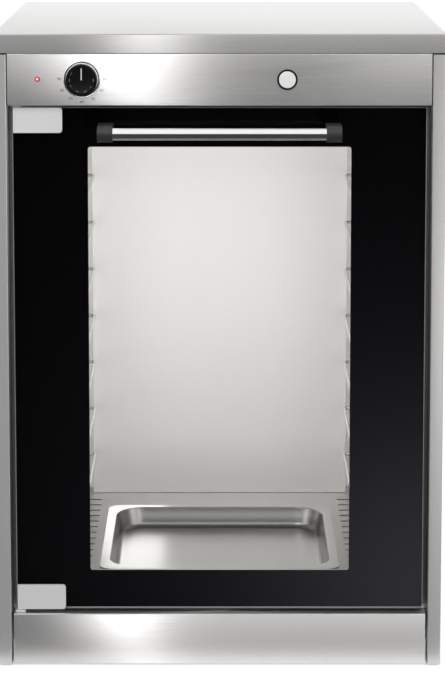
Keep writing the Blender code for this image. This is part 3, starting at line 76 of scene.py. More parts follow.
class Signal:
    """A number, colour or vector on its way through a finish's nodes."""

    def __init__(self, graph: "Graph", socket: bpy.types.NodeSocket) -> None:
        """Wrap one output socket."""
        self.graph = graph
        self.socket = socket

    def _math(self, operation: str, first: "Signal | float", second: "Signal | float") -> "Signal":
        """Add one Math node."""
        return self.graph.node("ShaderNodeMath", {"operation": operation}, {0: first, 1: second})

    def __add__(self, other: "Signal | float") -> "Signal":
        """Add."""
        return self._math("ADD", self, other)

    def __radd__(self, other: float) -> "Signal":
        """Add to a number."""
        return self._math("ADD", other, self)

    def __sub__(self, other: "Signal | float") -> "Signal":
        """Subtract."""
        return self._math("SUBTRACT", self, other)

    def __rsub__(self, other: float) -> "Signal":
        """Subtract from a number."""
        return self._math("SUBTRACT", other, self)

    def __mul__(self, other: "Signal | float") -> "Signal":
        """Multiply."""
        return self._math("MULTIPLY", self, other)

    def __rmul__(self, other: float) -> "Signal":
        """Multiply a number."""
        return self._math("MULTIPLY", other, self)

    def __pow__(self, other: "Signal | float") -> "Signal":
        """Raise to a power."""
        return self._math("POWER", self, other)

    def ramp(self, start: float, end: float, low: float = 0.0, high: float = 1.0) -> "Signal":
        """Ease from low to high while the signal goes from start to end."""
        return self.graph.node(
            "ShaderNodeMapRange",
            {"interpolation_type": "SMOOTHSTEP"},
            {0: self, 1: start, 2: end, 3: low, 4: high},
        )


class Graph:
    """The nodes of one finish."""

    def __init__(self, name: str) -> None:
        """Start an empty material.

        Args:
            name: The material's name.
        """
        self.material = bpy.data.materials.new(name)
        self.material.use_nodes = True
        self.tree = self.material.node_tree
        self.tree.nodes.clear()

    def node(
        self,
        kind: str,
        settings: dict | None = None,
        sockets: dict | None = None,
        output: int | str = 0,
    ) -> Signal:
        """Add any node.

        Args:
            kind: The node's type.
            settings: Its properties, set before its sockets.
            sockets: Values or signals for its inputs, by index or name.
            output: The output that is wrapped.

        Returns:
            The output as a signal.
        """
        made = self.tree.nodes.new(kind)
        for key, value in (settings or {}).items():
            setattr(made, key, value)
        for key, value in (sockets or {}).items():
            if isinstance(value, Signal):
                self.tree.links.new(value.socket, made.inputs[key])
            else:
                made.inputs[key].default_value = value
        return Signal(self, made.outputs[output])

    def spot(self, scale: Sequence[float] = (1, 1, 1), shift: Sequence[float] = (0, 0, 0)) -> Signal:
        """Give the place on the piece, stretched by scale."""
        place = self.node("ShaderNodeTexCoord", output="Object")
        return self.node("ShaderNodeMapping", None, {0: place, "Scale": scale, "Location": shift})

    def noise(self, place: Signal, detail: float = 2.0, rough: float = 0.5) -> Signal:
        """Give noise round a half at a place."""
        sockets = {0: place, "Scale": 1.0, "Detail": detail, "Roughness": rough}
        return self.node("ShaderNodeTexNoise", None, sockets)

    def shade(self, colour: Sequence[float], level: Signal) -> Signal:
        """Make a colour lighter or darker by a signal."""
        return self.node("ShaderNodeVectorMath", {"operation": "SCALE"}, {0: colour[:3], "Scale": level})

    def blend(
        self, share: Signal, first: Signal | Sequence[float], second: Signal | Sequence[float]
    ) -> Signal:
        """Mix two colours."""
        return self.node(
            "ShaderNodeMix", {"data_type": "RGBA"}, {0: share, 6: opaque(first), 7: opaque(second)}, 2
        )

    def bump(self, height: Signal, distance: float, strength: float = 1.0) -> Signal:
        """Turn a height into a normal."""
        sockets = {"Strength": strength, "Distance": distance, "Height": height}
        return self.node("ShaderNodeBump", None, sockets)

    def body(self, sockets: dict) -> Signal:
        """Add the main shader."""
        return self.node("ShaderNodeBsdfPrincipled", None, sockets)

    def close(self, shader: Signal) -> bpy.types.Material:
        """Join a shader to the output and return the material.

        Args:
            shader: What the surface shows.

        Returns:
            The finished material.
        """
        output = self.tree.nodes.new("ShaderNodeOutputMaterial")
        self.tree.links.new(shader.socket, output.inputs["Surface"])
        return self.material


def opaque(colour: "Signal | Sequence[float]") -> "Signal | Sequence[float]":
    """Give a plain colour its fourth value.

    Args:
        colour: A colour of three or four values, or a signal.

    Returns:
        The same signal, or the colour with four values.
    """
    if isinstance(colour, Signal):
        return colour
    return (*colour[:3], 1.0)


@dataclass(frozen=True)
class BrushedSheet:
    """Stainless sheet with a fine one-way grain, long streaks along it and faint clouds.

    The shine is drawn out across the grain; turn is a quarter where the grain lies level.
    """

    name: str
    slot: str
    grain: Grain
    colour: tuple[float, float, float] = (0.60, 0.592, 0.584)
    roughness: float = 0.30
    pull: float = 1.0
    contrast: float = 0.10
    turn: float = 0.25
    metal: float = 1.0

    def material(self) -> bpy.types.Material:
        """Build the nodes of the brushed sheet.

        Returns:
            The material.
        """
        graph = Graph(self.name)
        along = [2.0 if abs(part) > 0.5 else 1700.0 for part in self.grain.value]
        long = [0.5 if abs(part) > 0.5 else 240.0 for part in self.grain.value]
        hair = graph.noise(graph.spot(along), 3.0, 0.6) - 0.5
        streak = graph.noise(graph.spot(long), 2.0) - 0.5
        cloud = graph.noise(graph.spot((2.6, 2.6, 2.1)), 2.0) - 0.5
        level = 1.0 + hair * self.contrast + streak * (self.contrast * 0.5) + cloud * 0.06
        rough = self.roughness + hair * 0.03 + cloud * 0.03
        return graph.close(graph.body({
            "Base Color": graph.shade(self.colour, level),
            "Metallic": self.metal,
            "Roughness": rough,
            "Anisotropic": self.pull,
            "Anisotropic Rotation": self.turn,
            "Normal": graph.bump(hair, 0.00001, 0.05),
        }))


@dataclass(frozen=True)
class RolledSheet:
    """Bright cold-rolled stainless sheet for the cavity, faintly clouded by washing."""

    name: str
    slot: str
    colour: tuple[float, float, float] = (0.70, 0.69, 0.68)
    roughness: float = 0.40
    metallic: float = 1.0

    def material(self) -> bpy.types.Material:
        """Build the nodes of the rolled sheet.

        Returns:
            The material.
        """
        graph = Graph(self.name)
        fine = graph.noise(graph.spot((420, 420, 30)), 2.0) - 0.5
        wash = graph.noise(graph.spot((5, 5, 2.5)), 2.0, 0.5) - 0.5
        level = 1.0 + fine * 0.05 + wash * 0.03
        return graph.close(graph.body({
            "Base Color": graph.shade(self.colour, level),
            "Metallic": self.metallic,
            "Roughness": self.roughness + fine * 0.05 + wash * 0.02,
            "Normal": graph.bump(fine, 0.00002, 0.3),
        }))


@dataclass(frozen=True)
class PressedSteel:
    """Deep-drawn stainless steel with a satin skin, a little clouded."""

    name: str
    slot: str
    # Darker than bare stainless: painted shade for the dark surroundings that the tray's walls reflect.
    colour: tuple[float, float, float] = (0.36, 0.354, 0.348)
    roughness: float = 0.30

    def material(self) -> bpy.types.Material:
        """Build the nodes of the pressed steel.

        Returns:
            The material.
        """
        graph = Graph(self.name)
        skin = graph.noise(graph.spot((240, 240, 240)), 3.0) - 0.5
        cloud = graph.noise(graph.spot((14, 14, 14)), 2.0) - 0.5
        return graph.close(graph.body({
            "Base Color": graph.shade(self.colour, 1.0 + skin * 0.05 + cloud * 0.06),
            "Metallic": 1.0,
            "Roughness": self.roughness + skin * 0.04 + cloud * 0.05,
        }))


@dataclass(frozen=True)
class ZincSheet:
    """Galvanised sheet with the leafy spangle of its zinc coat."""

    name: str
    slot: str
    colour: tuple[float, float, float] = (0.50, 0.51, 0.52)

    def material(self) -> bpy.types.Material:
        """Build the nodes of the zinc coat.

        Returns:
            The material.
        """
        graph = Graph(self.name)
        place = graph.spot((70, 70, 70))
        bend = graph.node(
            "ShaderNodeMix", {"data_type": "VECTOR"},
            {0: 0.35, 4: place, 5: graph.node("ShaderNodeTexNoise", None, {0: place, "Scale": 1.2}, 1)}, 1,
        )
        leaf = graph.node("ShaderNodeTexVoronoi", None, {0: bend, "Scale": 1.0}, 1)
        grey = graph.node("ShaderNodeRGBToBW", None, {0: leaf})
        fine = graph.noise(graph.spot((500, 500, 500)), 2.0) - 0.5
        level = 0.92 + grey * 0.20 + fine * 0.05
        return graph.close(graph.body({
            "Base Color": graph.shade(self.colour, level),
            "Metallic": 0.9,
            "Roughness": 0.38 + grey * 0.16 + fine * 0.06,
            "Normal": graph.bump(grey + fine * 0.3, 0.00003, 0.4),
        }))


@dataclass(frozen=True)
class PolishedMetal:
    """Chrome or turned steel, with a breath of haze and hairline scratches."""

    name: str
    slot: str
    colour: tuple[float, float, float] = (0.80, 0.80, 0.80)
    roughness: float = 0.08
    haze: float = 0.05

    def material(self) -> bpy.types.Material:
        """Build the nodes of the polished metal.

        Returns:
            The material.
        """
        graph = Graph(self.name)
        haze = graph.noise(graph.spot((60, 60, 60)), 3.0)
        line = graph.noise(graph.spot((1400, 1400, 40)), 1.0) - 0.5
        return graph.close(graph.body({
            "Base Color": graph.shade(self.colour, 1.0 + line * 0.05 - haze * 0.04),
            "Metallic": 1.0,
            "Roughness": self.roughness + haze * self.haze + line * 0.02,
        }))


@dataclass(frozen=True)
class Plastic:
    """Moulded plastic with a spark-eroded texture and slight uneven gloss."""

    name: str
    slot: str
    colour: tuple[float, float, float]
    roughness: float = 0.4
    gloss: float = 0.5
    pits: float = 0.00004
    pit_scale: float = 1600.0
    coat: float = 0.0

    def material(self) -> bpy.types.Material:
        """Build the nodes of the plastic.

        Returns:
            The material.
        """
        graph = Graph(self.name)
        pits = graph.noise(graph.spot((self.pit_scale,) * 3), 2.0) - 0.5
        flow = graph.noise(graph.spot((35, 35, 35)), 2.0) - 0.5
        return graph.close(graph.body({
            "Base Color": graph.shade(self.colour, 1.0 + pits * 0.14 + flow * 0.12),
            "Roughness": self.roughness + flow * 0.10 + pits * 0.06,
            "Specular IOR Level": self.gloss,
            "Coat Weight": self.coat,
            "Coat Roughness": 0.12,
            "Normal": graph.bump(pits, self.pits, 0.5),
        }))


@dataclass(frozen=True)
class Rubber:
    """Soft black rubber with a dusty bloom."""

    name: str
    slot: str
    colour: tuple[float, float, float] = (0.020, 0.020, 0.021)
    dust: tuple[float, float, float] = (0.045, 0.044, 0.042)

    def material(self) -> bpy.types.Material:
        """Build the nodes of the rubber.

        Returns:
            The material.
        """
        graph = Graph(self.name)
        grain = graph.noise(graph.spot((900, 900, 900)), 3.0) - 0.5
        bloom = graph.noise(graph.spot((28, 28, 28)), 3.0, 0.6).ramp(0.45, 0.75)
        black = graph.shade(self.colour, 1.0 + grain * 0.3)
        return graph.close(graph.body({
            "Base Color": graph.blend(bloom * 0.5, black, self.dust),
            "Roughness": 0.62 + bloom * 0.2 + grain * 0.08,
            "Specular IOR Level": 0.35,
            "Normal": graph.bump(grain, 0.00005, 0.5),
        }))


@dataclass(frozen=True)
class Enamel:
    """Black ceramic enamel fired on the back of the glass."""

    name: str
    slot: str
    colour: tuple[float, float, float] = (0.0012, 0.0012, 0.0014)

    def material(self) -> bpy.types.Material:
        """Build the nodes of the enamel.

        Returns:
            The material.
        """
        graph = Graph(self.name)
        fire = graph.noise(graph.spot((1100, 1100, 1100)), 2.0) - 0.5
        return graph.close(graph.body({
            "Base Color": graph.shade(self.colour, 1.0 + fire * 0.4),
            "Roughness": 0.5 + fire * 0.1,
            "Specular IOR Level": 0.0,
        }))


@dataclass(frozen=True)
class ClearGlass:
    """Toughened float glass: what is behind shows, under a thin shine."""

    name: str
    slot: str
    tint: tuple[float, float, float] = (0.985, 0.987, 0.984)
    falloff: float = 2.0

    def material(self) -> bpy.types.Material:
        """Build the nodes of the clear faces.

        Returns:
            The material.
        """
        graph = Graph(self.name)
        smear = graph.noise(graph.spot((5, 5, 9)), 3.0, 0.6).ramp(0.5, 0.8)
        clear = graph.node("ShaderNodeBsdfTransparent", None, {0: opaque(self.tint)})
        shine = graph.body({
            "Base Color": (0.93, 0.95, 1.0, 1.0),
            "Roughness": 0.02 + smear * 0.05,
            "Metallic": 1.0,
        })
        edge_on = graph.node("ShaderNodeLayerWeight", None, {"Blend": 0.5}, "Facing")
        share = (0.04 + edge_on**5.0 * 0.96) ** self.falloff
        return graph.close(graph.node("ShaderNodeMixShader", None, {0: share, 1: clear, 2: shine}))


@dataclass(frozen=True)
class GlassEdge:
    """The ground and polished rim of the pane, pale green and bright."""

    name: str
    slot: str
    colour: tuple[float, float, float] = (0.30, 0.33, 0.32)

    def material(self) -> bpy.types.Material:
        """Build the nodes of the rim.

        Returns:
            The material.
        """
        graph = Graph(self.name)
        grind = graph.noise(graph.spot((700, 700, 700)), 2.0) - 0.5
        return graph.close(graph.body({
            "Base Color": graph.shade(self.colour, 1.0 + grind * 0.12),
            "Roughness": 0.16 + grind * 0.08,
            "Specular IOR Level": 0.8,
        }))


@dataclass(frozen=True)
class LampLens:
    """A clear red lens with a pale lit centre."""

    name: str
    slot: str
    centre: tuple[float, float, float]
    radius: float = 0.0016

    def material(self) -> bpy.types.Material:
        """Build the nodes of the lens.

        Returns:
            The material.
        """
        graph = Graph(self.name)
        place = graph.node("ShaderNodeTexCoord", output="Object")
        off = graph.node(
            "ShaderNodeVectorMath", {"operation": "SUBTRACT"}, {0: place, 1: self.centre}
        )
        flat = graph.node(
            "ShaderNodeVectorMath", {"operation": "MULTIPLY"}, {0: off, 1: (1.0, 0.0, 1.0)}
        )
        reach = graph.node("ShaderNodeVectorMath", {"operation": "LENGTH"}, {0: flat}, 1)
        lit = reach.ramp(self.radius * 1.15, self.radius * 0.65)
        glow = graph.blend(lit, (0.28, 0.006, 0.004), (0.95, 0.62, 0.55))
        return graph.close(graph.body({
            "Base Color": graph.blend(lit, (0.55, 0.02, 0.012), (0.92, 0.70, 0.66)),
            "Roughness": 0.14 + lit * 0.1,
            "Coat Weight": 0.6,
            "Emission Color": glow,
            "Emission Strength": 0.45,
        }))


@dataclass(frozen=True)
class TintedTube:
    """The heater's steel tube, browned and blued by heat."""

    name: str
    slot: str

    def material(self) -> bpy.types.Material:
        """Build the nodes of the heated tube.

        Returns:
            The material.
        """
        graph = Graph(self.name)
        heat = graph.noise(graph.spot((14, 14, 14)), 3.0).ramp(0.35, 0.65)
        soot = graph.noise(graph.spot((300, 300, 300)), 3.0) - 0.5
        tint = graph.blend(heat, (0.19, 0.15, 0.12), (0.13, 0.14, 0.18))
        return graph.close(graph.body({
            "Base Color": graph.blend((soot + 0.5).ramp(0.55, 0.8) * 0.5, tint, (0.05, 0.045, 0.04)),
            "Metallic": 0.85,
            "Roughness": 0.42 + soot * 0.2,
        }))


@dataclass(frozen=True)
class PaleFloor:
    """The studio floor: plain, pale and matt, white where nothing shades it."""

    name: str
    colour: tuple[float, float, float] = (0.86, 0.86, 0.86)
    lift: float = 0.45

    def material(self) -> bpy.types.Material:
        """Build the nodes of the floor.

        Returns:
            The material.
        """
        graph = Graph(self.name)
        seen = graph.node("ShaderNodeLightPath", output="Is Camera Ray")
        for ray in ("Is Glossy Ray", "Is Transmission Ray"):
            seen = graph.node(
                "ShaderNodeMath", {"operation": "MAXIMUM"},
                {0: seen, 1: graph.node("ShaderNodeLightPath", output=ray)},
            )
        dull = graph.node("ShaderNodeBsdfDiffuse", None, {"Color": opaque(self.colour)})
        glow = graph.node("ShaderNodeEmission", None, {"Strength": seen * self.lift})
        return graph.close(graph.node("ShaderNodeAddShader", None, {0: dull, 1: glow}))


@dataclass(frozen=True)
class DarkCloth:
    """The dark card behind the camera, which keeps the bare steel grey and the glass black."""

    name: str
    colour: tuple[float, float, float] = (0.06, 0.06, 0.065)

    def material(self) -> bpy.types.Material:
        """Build the nodes of the cloth.

        Returns:
            The material.
        """
        graph = Graph(self.name)
        return graph.close(graph.node("ShaderNodeBsdfDiffuse", None, {"Color": opaque(self.colour)}))


Finish = BrushedSheet | RolledSheet | PressedSteel | ZincSheet | PolishedMetal | Plastic | Rubber

FRONT_STEEL = BrushedSheet("brushed_across", "brushed_steel", Grain.ACROSS, roughness=0.28, metal=0.92)
# The worktop's top faces take a darker copy of the front steel: painted shade for how the light falls on the
# top.
SHADED_TOP_STEEL = BrushedSheet("brushed_top_painted_shade", "brushed_steel", Grain.ACROSS, (0.385, 0.382, 0.379), 0.42, 0.0)
FLANGE_STEEL = BrushedSheet(
    "brushed_flange", "brushed_steel", Grain.ACROSS, roughness=0.40, pull=0.0, metal=0.6
)
SIDE_STEEL = BrushedSheet("brushed_upright", "brushed_steel", Grain.UPRIGHT, roughness=0.34, turn=0.0)
FRAME_STEEL = BrushedSheet("brushed_frame", "brushed_steel", Grain.UPRIGHT, (0.50, 0.49, 0.48), 0.34, 0.0)
HINGE_STEEL = BrushedSheet(
    "satin_hinge", "hinge_steel", Grain.ACROSS, (0.86, 0.852, 0.847), 0.6, 0.0, metal=0.6
)
CAVITY_STEEL = RolledSheet("cavity_sheet", "cavity_steel", (0.72, 0.705, 0.695), 0.42)
# The slotted floor takes a darker copy of the cavity sheet: painted shade at the bottom of the chamber.
SHADED_FLOOR_STEEL = RolledSheet("floor_sheet_painted_shade", "cavity_steel", (0.42, 0.411, 0.404), 0.42)
# The water tray takes pressed steel much darker than the cavity sheet: painted shade for the dark reflections
# in its walls.
SHADED_TRAY_STEEL = PressedSteel("tray_steel_painted_shade", "cavity_steel")
ZINC = ZincSheet("galvanised_sheet", "galvanised_steel")
RING_CHROME = PolishedMetal("ring_chrome", "bright_chrome", (0.95, 0.95, 0.95), 0.22)
RACK_CHROME = PolishedMetal("rack_chrome", "rack_chrome", (0.60, 0.60, 0.60), 0.12)
CHROME = PolishedMetal("bright_chrome", "bright_chrome", (0.92, 0.92, 0.92), 0.06)
SCREW_ZINC = PolishedMetal("screw_zinc", "screw_zinc", (0.58, 0.59, 0.61), 0.26, 0.12)
MOUNT_PLASTIC = Plastic("mount_plastic", "dark_plastic", (0.030, 0.029, 0.028), 0.46)
BLACK_PLASTIC = Plastic("black_plastic", "black_plastic", (0.006, 0.006, 0.0065), 0.30, 0.25)
FAN_PLASTIC = Plastic("fan_plastic", "black_plastic", (0.014, 0.014, 0.015), 0.45)
WHITE_PLASTIC = Plastic(
    "white_plastic", "white_plastic", (0.83, 0.825, 0.81), 0.28, pits=0.00001, pit_scale=800.0, coat=0.3
)
PANEL_INK = Plastic("panel_ink", "black_plastic", (0.030, 0.028, 0.028), 0.5)
SEAL_RUBBER = Rubber("seal_rubber", "seal_rubber")
FOOT_RUBBER = Rubber("foot_rubber", "foot_rubber", (0.016, 0.016, 0.017))
ENAMEL = Enamel("black_enamel", "black_enamel")
GLASS = ClearGlass("door_glass", "door_glass")
GLASS_EDGE = GlassEdge("glass_edge", "door_glass")
HEATER_STEEL = TintedTube("heated_tube", "heater_steel")


@lru_cache(maxsize=None)
def material_of(finish: Finish) -> bpy.types.Material:
    """Build a finish's material once."""
    return finish.material()


@dataclass(frozen=True)
class Box:
    """The space that a node takes at rest."""

    low: Vector
    high: Vector

    @classmethod
    def of(cls, node: str) -> "Box":
        """Read a node's box."""
        return cls(*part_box(node))

    @property
    def centre(self) -> Vector:
        """The middle of the box."""
        return (self.low + self.high) / 2

    @property
    def size(self) -> Vector:
        """The three sides of the box."""
        return self.high - self.low


def deselect() -> None:
    """Leave nothing selected."""
    bpy.ops.object.select_all(action="DESELECT")


def take(piece: bpy.types.Object) -> None:
    """Make a piece the only selected and the active object.

    Args:
        piece: The piece to work on.
    """
    deselect()
    piece.select_set(True)
    bpy.context.view_layer.objects.active = piece


@contextmanager
def editing(piece: bpy.types.Object) -> Iterator[None]:
    """Hold a piece in edit mode with nothing selected in it."""
    take(piece)
    bpy.ops.object.mode_set(mode="EDIT")
    bpy.ops.mesh.select_all(action="DESELECT")
    try:
        yield
    finally:
        bpy.ops.object.mode_set(mode="OBJECT")


def pick(piece: bpy.types.Object, what: Pick, test: Callable[..., bool]) -> int:
    """Select only the elements that pass a test.

    Args:
        piece: The piece in edit mode.
        what: Whether points, edges or faces are tested.
        test: Takes one element and tells whether it is wanted.

    Returns:
        How many were selected.
    """
    bpy.ops.mesh.select_mode(type=what.value)
    bpy.ops.mesh.select_all(action="DESELECT")
    mesh = bmesh.from_edit_mesh(piece.data)
    group = {Pick.VERTS: mesh.verts, Pick.EDGES: mesh.edges, Pick.FACES: mesh.faces}[what]
    chosen = [element for element in group if test(element)]
    for element in chosen:
        element.select_set(True)
    mesh.select_flush_mode()
    bmesh.update_edit_mesh(piece.data)
    return len(chosen)


def settle(piece: bpy.types.Object) -> bpy.types.Object:
    """Bake a piece's place into its mesh, so that its object sits at the origin.

    Args:
        piece: A piece that was placed, turned or scaled.

    Returns:
        The same piece.
    """
    take(piece)
    bpy.ops.object.transform_apply(location=True, rotation=True, scale=True)
    return piece


def named(piece: bpy.types.Object, name: str) -> bpy.types.Object:
    """Name a piece and its mesh.

    Args:
        piece: The piece.
        name: Its new name.

    Returns:
        The same piece.
    """
    piece.name = name
    piece.data.name = name
    return piece


def cube(name: str, low: Sequence[float], high: Sequence[float]) -> bpy.types.Object:
    """Add a box between two corners, ready to be shaped.

    Args:
        name: The piece's name.
        low: Its lowest corner.
        high: Its highest corner.

    Returns:
        The box.
    """
    first, last = Vector(low), Vector(high)
    deselect()
    bpy.ops.mesh.primitive_cube_add(size=1, location=(first + last) / 2, scale=last - first)
    return named(settle(bpy.context.object), name)


def wire_mesh(name: str, points: Sequence[Sequence[float]], closed: bool = False) -> bpy.types.Object:
    """Add a line of joined points as a mesh.

    Args:
        name: The piece's name.
        points: The points in order.
        closed: Whether the last point joins the first.

    Returns:
        The line.
    """
    mesh = bpy.data.meshes.new(name)
    edges = [(index, index + 1) for index in range(len(points) - 1)]
    if closed:
        edges.append((len(points) - 1, 0))
    mesh.from_pydata([tuple(point) for point in points], edges, [])
    piece = bpy.data.objects.new(name, mesh)
    bpy.context.collection.objects.link(piece)
    return piece


def tidy(piece: bpy.types.Object, outwards: bool = True) -> None:
    """Merge a mesh's doubles and point its faces outwards.

    Args:
        piece: The piece.
        outwards: Whether the faces are turned at all.
    """
    with editing(piece):
        bpy.ops.mesh.select_all(action="SELECT")
        bpy.ops.mesh.remove_doubles(threshold=WELD)
        if outwards:
            bpy.ops.mesh.normals_make_consistent(inside=False)
    shell = bmesh.new()
    shell.from_mesh(piece.data)
    closed = all(edge.is_manifold for edge in shell.edges)
    inside_out = closed and shell.calc_volume(signed=True) < 0
    shell.free()
    if outwards and inside_out:
        turn_over(piece)


def turn_over(piece: bpy.types.Object) -> None:
    """Point a mesh's faces the other way.

    Args:
        piece: The piece.
    """
    with editing(piece):
        bpy.ops.mesh.select_all(action="SELECT")
        bpy.ops.mesh.flip_normals()


def smooth(piece: bpy.types.Object, angle: float = 35.0) -> bpy.types.Object:
    """Shade a piece smooth up to an angle in degrees.

    Args:
        piece: The piece.
        angle: Edges sharper than this stay sharp.

    Returns:
        The same piece.
    """
    take(piece)
    bpy.ops.object.shade_smooth_by_angle(angle=math.radians(angle))
    return piece


def modify(piece: bpy.types.Object, kind: str, **settings: object) -> bpy.types.Object:
    """Add a modifier and apply it.

    Args:
        piece: The piece.
        kind: The modifier's type.
        settings: The modifier's properties.

    Returns:
        The same piece.
    """
    take(piece)
    modifier = piece.modifiers.new(kind.lower(), kind)
    for key, value in settings.items():
        setattr(modifier, key, value)
    bpy.ops.object.modifier_apply(modifier=modifier.name)
    return piece


def soften(piece: bpy.types.Object, width: float, segments: int = 2, angle: float = 30.0) -> bpy.types.Object:
    """Round a piece's sharp edges and keep its flat faces flat to the light.

    Args:
        piece: The piece.
        width: The bevel's width.
        segments: How many faces go round an edge.
        angle: Edges sharper than this are rounded, in degrees.

    Returns:
        The same piece.
    """
    take(piece)
    bpy.ops.object.shade_smooth()
    modify(
        piece, "BEVEL", width=width, segments=segments, limit_method="ANGLE",
        angle_limit=math.radians(angle), harden_normals=True,
    )
    return piece


def lathe(
    name: str,
    profile: Sequence[tuple[float, float]],
    centre: Sequence[float],
    axis: Sequence[float] = (0, 1, 0),
    steps: int = 64,
) -> bpy.types.Object:
    """Spin a profile of (radius, distance along the axis) about an axis through centre.

    Args:
        name: The piece's name.
        profile: The points of the outline.
        centre: A point on the axis.
        axis: Which way the axis runs.
        steps: How many faces go round.

    Returns:
        The turned piece.
    """
    line = Vector(axis).normalized()
    side = Vector((1, 0, 0)) if abs(line.x) < 0.5 else Vector((0, 0, 1))
    middle = Vector(centre)
    piece = wire_mesh(name, [middle + side * radius + line * along for radius, along in profile])
    with editing(piece):
        bpy.ops.mesh.select_all(action="SELECT")
        bpy.ops.mesh.spin(steps=steps, angle=2 * math.pi, center=middle, axis=line)
    tidy(piece)
    return piece


def arc(
    centre: tuple[float, float], radius: float, start: float, end: float, steps: int = 5
) -> list[tuple[float, float]]:
    """List points on an arc between two angles in degrees.

    Args:
        centre: The arc's centre.
        radius: Its radius.
        start: The first angle.
        end: The last angle.
        steps: How many chords it has.

    Returns:
        The points from start to end.
    """
    turns = [math.radians(start + (end - start) * step / steps) for step in range(steps + 1)]
    return [(centre[0] + radius * math.cos(turn), centre[1] + radius * math.sin(turn)) for turn in turns]


def drill(piece: bpy.types.Object, centre: Sequence[float], radius: float, depth: float) -> None:
    """Drill a hole through a sheet, from in front of it.

    Args:
        piece: The sheet.
        centre: The hole's middle.
        radius: The hole's radius.
        depth: How far the bit reaches in all.
    """
    deselect()
    bpy.ops.mesh.primitive_cylinder_add(
        vertices=48, radius=radius, depth=depth, location=centre, rotation=(math.pi / 2, 0, 0)
    )
    bit = settle(bpy.context.object)
    modify(piece, "BOOLEAN", operation="DIFFERENCE", solver="FAST", object=bit)
    bpy.data.objects.remove(bit)


def folded(
    name: str,
    outline: Sequence[Sequence[float]],
    run: Sequence[float],
    bend: float,
    sheet: float,
    inwards: float = -1.0,
) -> bpy.types.Object:
    """Fold a sheet along an outline, with round bends.

    Args:
        name: The piece's name.
        outline: The corners of the sheet's outer face, seen end-on.
        run: How far and which way the fold runs.
        bend: The outer radius of each bend.
        sheet: The sheet's thickness.
        inwards: Which side of the outer face the thickness lies on.

    Returns:
        The folded piece.
    """
    piece = wire_mesh(name, outline)
    ends = {0, len(outline) - 1}
    with editing(piece):
        pick(piece, Pick.VERTS, lambda vert: vert.index not in ends)
        bpy.ops.mesh.bevel(offset=bend, segments=5, affect="VERTICES")
        bpy.ops.mesh.select_all(action="SELECT")
        bpy.ops.mesh.extrude_region_move(TRANSFORM_OT_translate={"value": tuple(run)})
    modify(piece, "SOLIDIFY", thickness=sheet, offset=inwards, use_even_offset=True)
    tidy(piece)
    return piece


def refined(node: str, name: str, width: float, segments: int = 2) -> bpy.types.Object:
    """Copy a node's mesh as one clean shell and round its edges.

    Args:
        node: The node that is copied.
        name: The new piece's name.
        width: The bevel's width.
        segments: How many faces go round an edge.

    Returns:
        The refined copy.
    """
    piece = bpy.data.objects.new(name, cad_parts[node].data.copy())
    piece.data.name = name
    piece.data.materials.clear()
    bpy.context.collection.objects.link(piece)
    take(piece)
    bpy.ops.mesh.customdata_custom_splitnormals_clear()
    with editing(piece):
        bpy.ops.mesh.select_all(action="SELECT")
        bpy.ops.mesh.remove_doubles(threshold=WELD)
        bpy.ops.mesh.dissolve_limited(angle_limit=math.radians(0.6))
    return soften(piece, width, segments)


def joined(name: str, pieces: Sequence[bpy.types.Object]) -> bpy.types.Object:
    """Join pieces into one mesh.

    Args:
        name: The joined piece's name.
        pieces: What is joined.

    Returns:
        The joined piece.
    """
    deselect()
    for piece in pieces:
        piece.select_set(True)
    bpy.context.view_layer.objects.active = pieces[0]
    bpy.ops.object.join()
    return named(bpy.context.object, name)


def fit(piece: bpy.types.Object, finish: Finish, body: str, *nodes: str) -> bpy.types.Object:
    """Give a piece its finish, its body and the nodes that it stands for.

    Args:
        piece: The piece.
        finish: What it is made of.
        body: The body that carries it.
        nodes: The nodes that it stands for, if any.

    Returns:
        The same piece.
    """
    if not piece.data.materials:
        piece.data.materials.append(material_of(finish))
    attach(piece, body)
    if nodes:
        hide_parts(*nodes)
    log.info("%s: %s on %s", piece.name, finish.name, body)
    return piece


def dress(node: str, finish: Finish) -> None:
    """Give a node that keeps its own mesh its finish.

    Args:
        node: The node.
        finish: What it is made of.
    """
    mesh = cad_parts[node].data
    mesh.materials.clear()
    mesh.materials.append(material_of(finish))
    log.info("%s: %s", node, finish.name)


@dataclass
class WorktopCap:
    """The folded worktop, with soft upright corners and a return underneath."""

    corner: float = 0.004
    edge: float = 0.0018
    lap: float = 0.012
    hollow: float = 0.0226

    def build(self) -> None:
        """Model the cap from a block."""
        box = Box.of("worktop")
        piece = cube("worktop_cap", box.low, box.high)
        with editing(piece):
            pick(piece, Pick.EDGES, lambda edge: abs(edge.verts[0].co.z - edge.verts[1].co.z) > self.edge)
            bpy.ops.mesh.bevel(offset=self.corner, segments=8, affect="EDGES")
            pick(piece, Pick.EDGES, lambda edge: all(abs(v.co.z - box.high.z) < WELD for v in edge.verts))
            bpy.ops.mesh.bevel(offset=self.edge, segments=5, affect="EDGES")
            pick(piece, Pick.FACES, lambda face: face.normal.z < -0.9)
            bpy.ops.mesh.inset(thickness=self.lap)
            bpy.ops.mesh.extrude_region_move(TRANSFORM_OT_translate={"value": (0, 0, self.hollow)})
        tidy(piece)
        soften(piece, 0.0004, 2, 50)
        piece.data.materials.append(material_of(FRONT_STEEL))
        # The top faces get the darker top steel, which is painted shade on the worktop's top.
        piece.data.materials.append(material_of(SHADED_TOP_STEEL))
        for face in piece.data.polygons:
            face.material_index = int(abs(face.normal.z) > 0.7)
        fit(piece, FRONT_STEEL, "cabinet", "worktop")


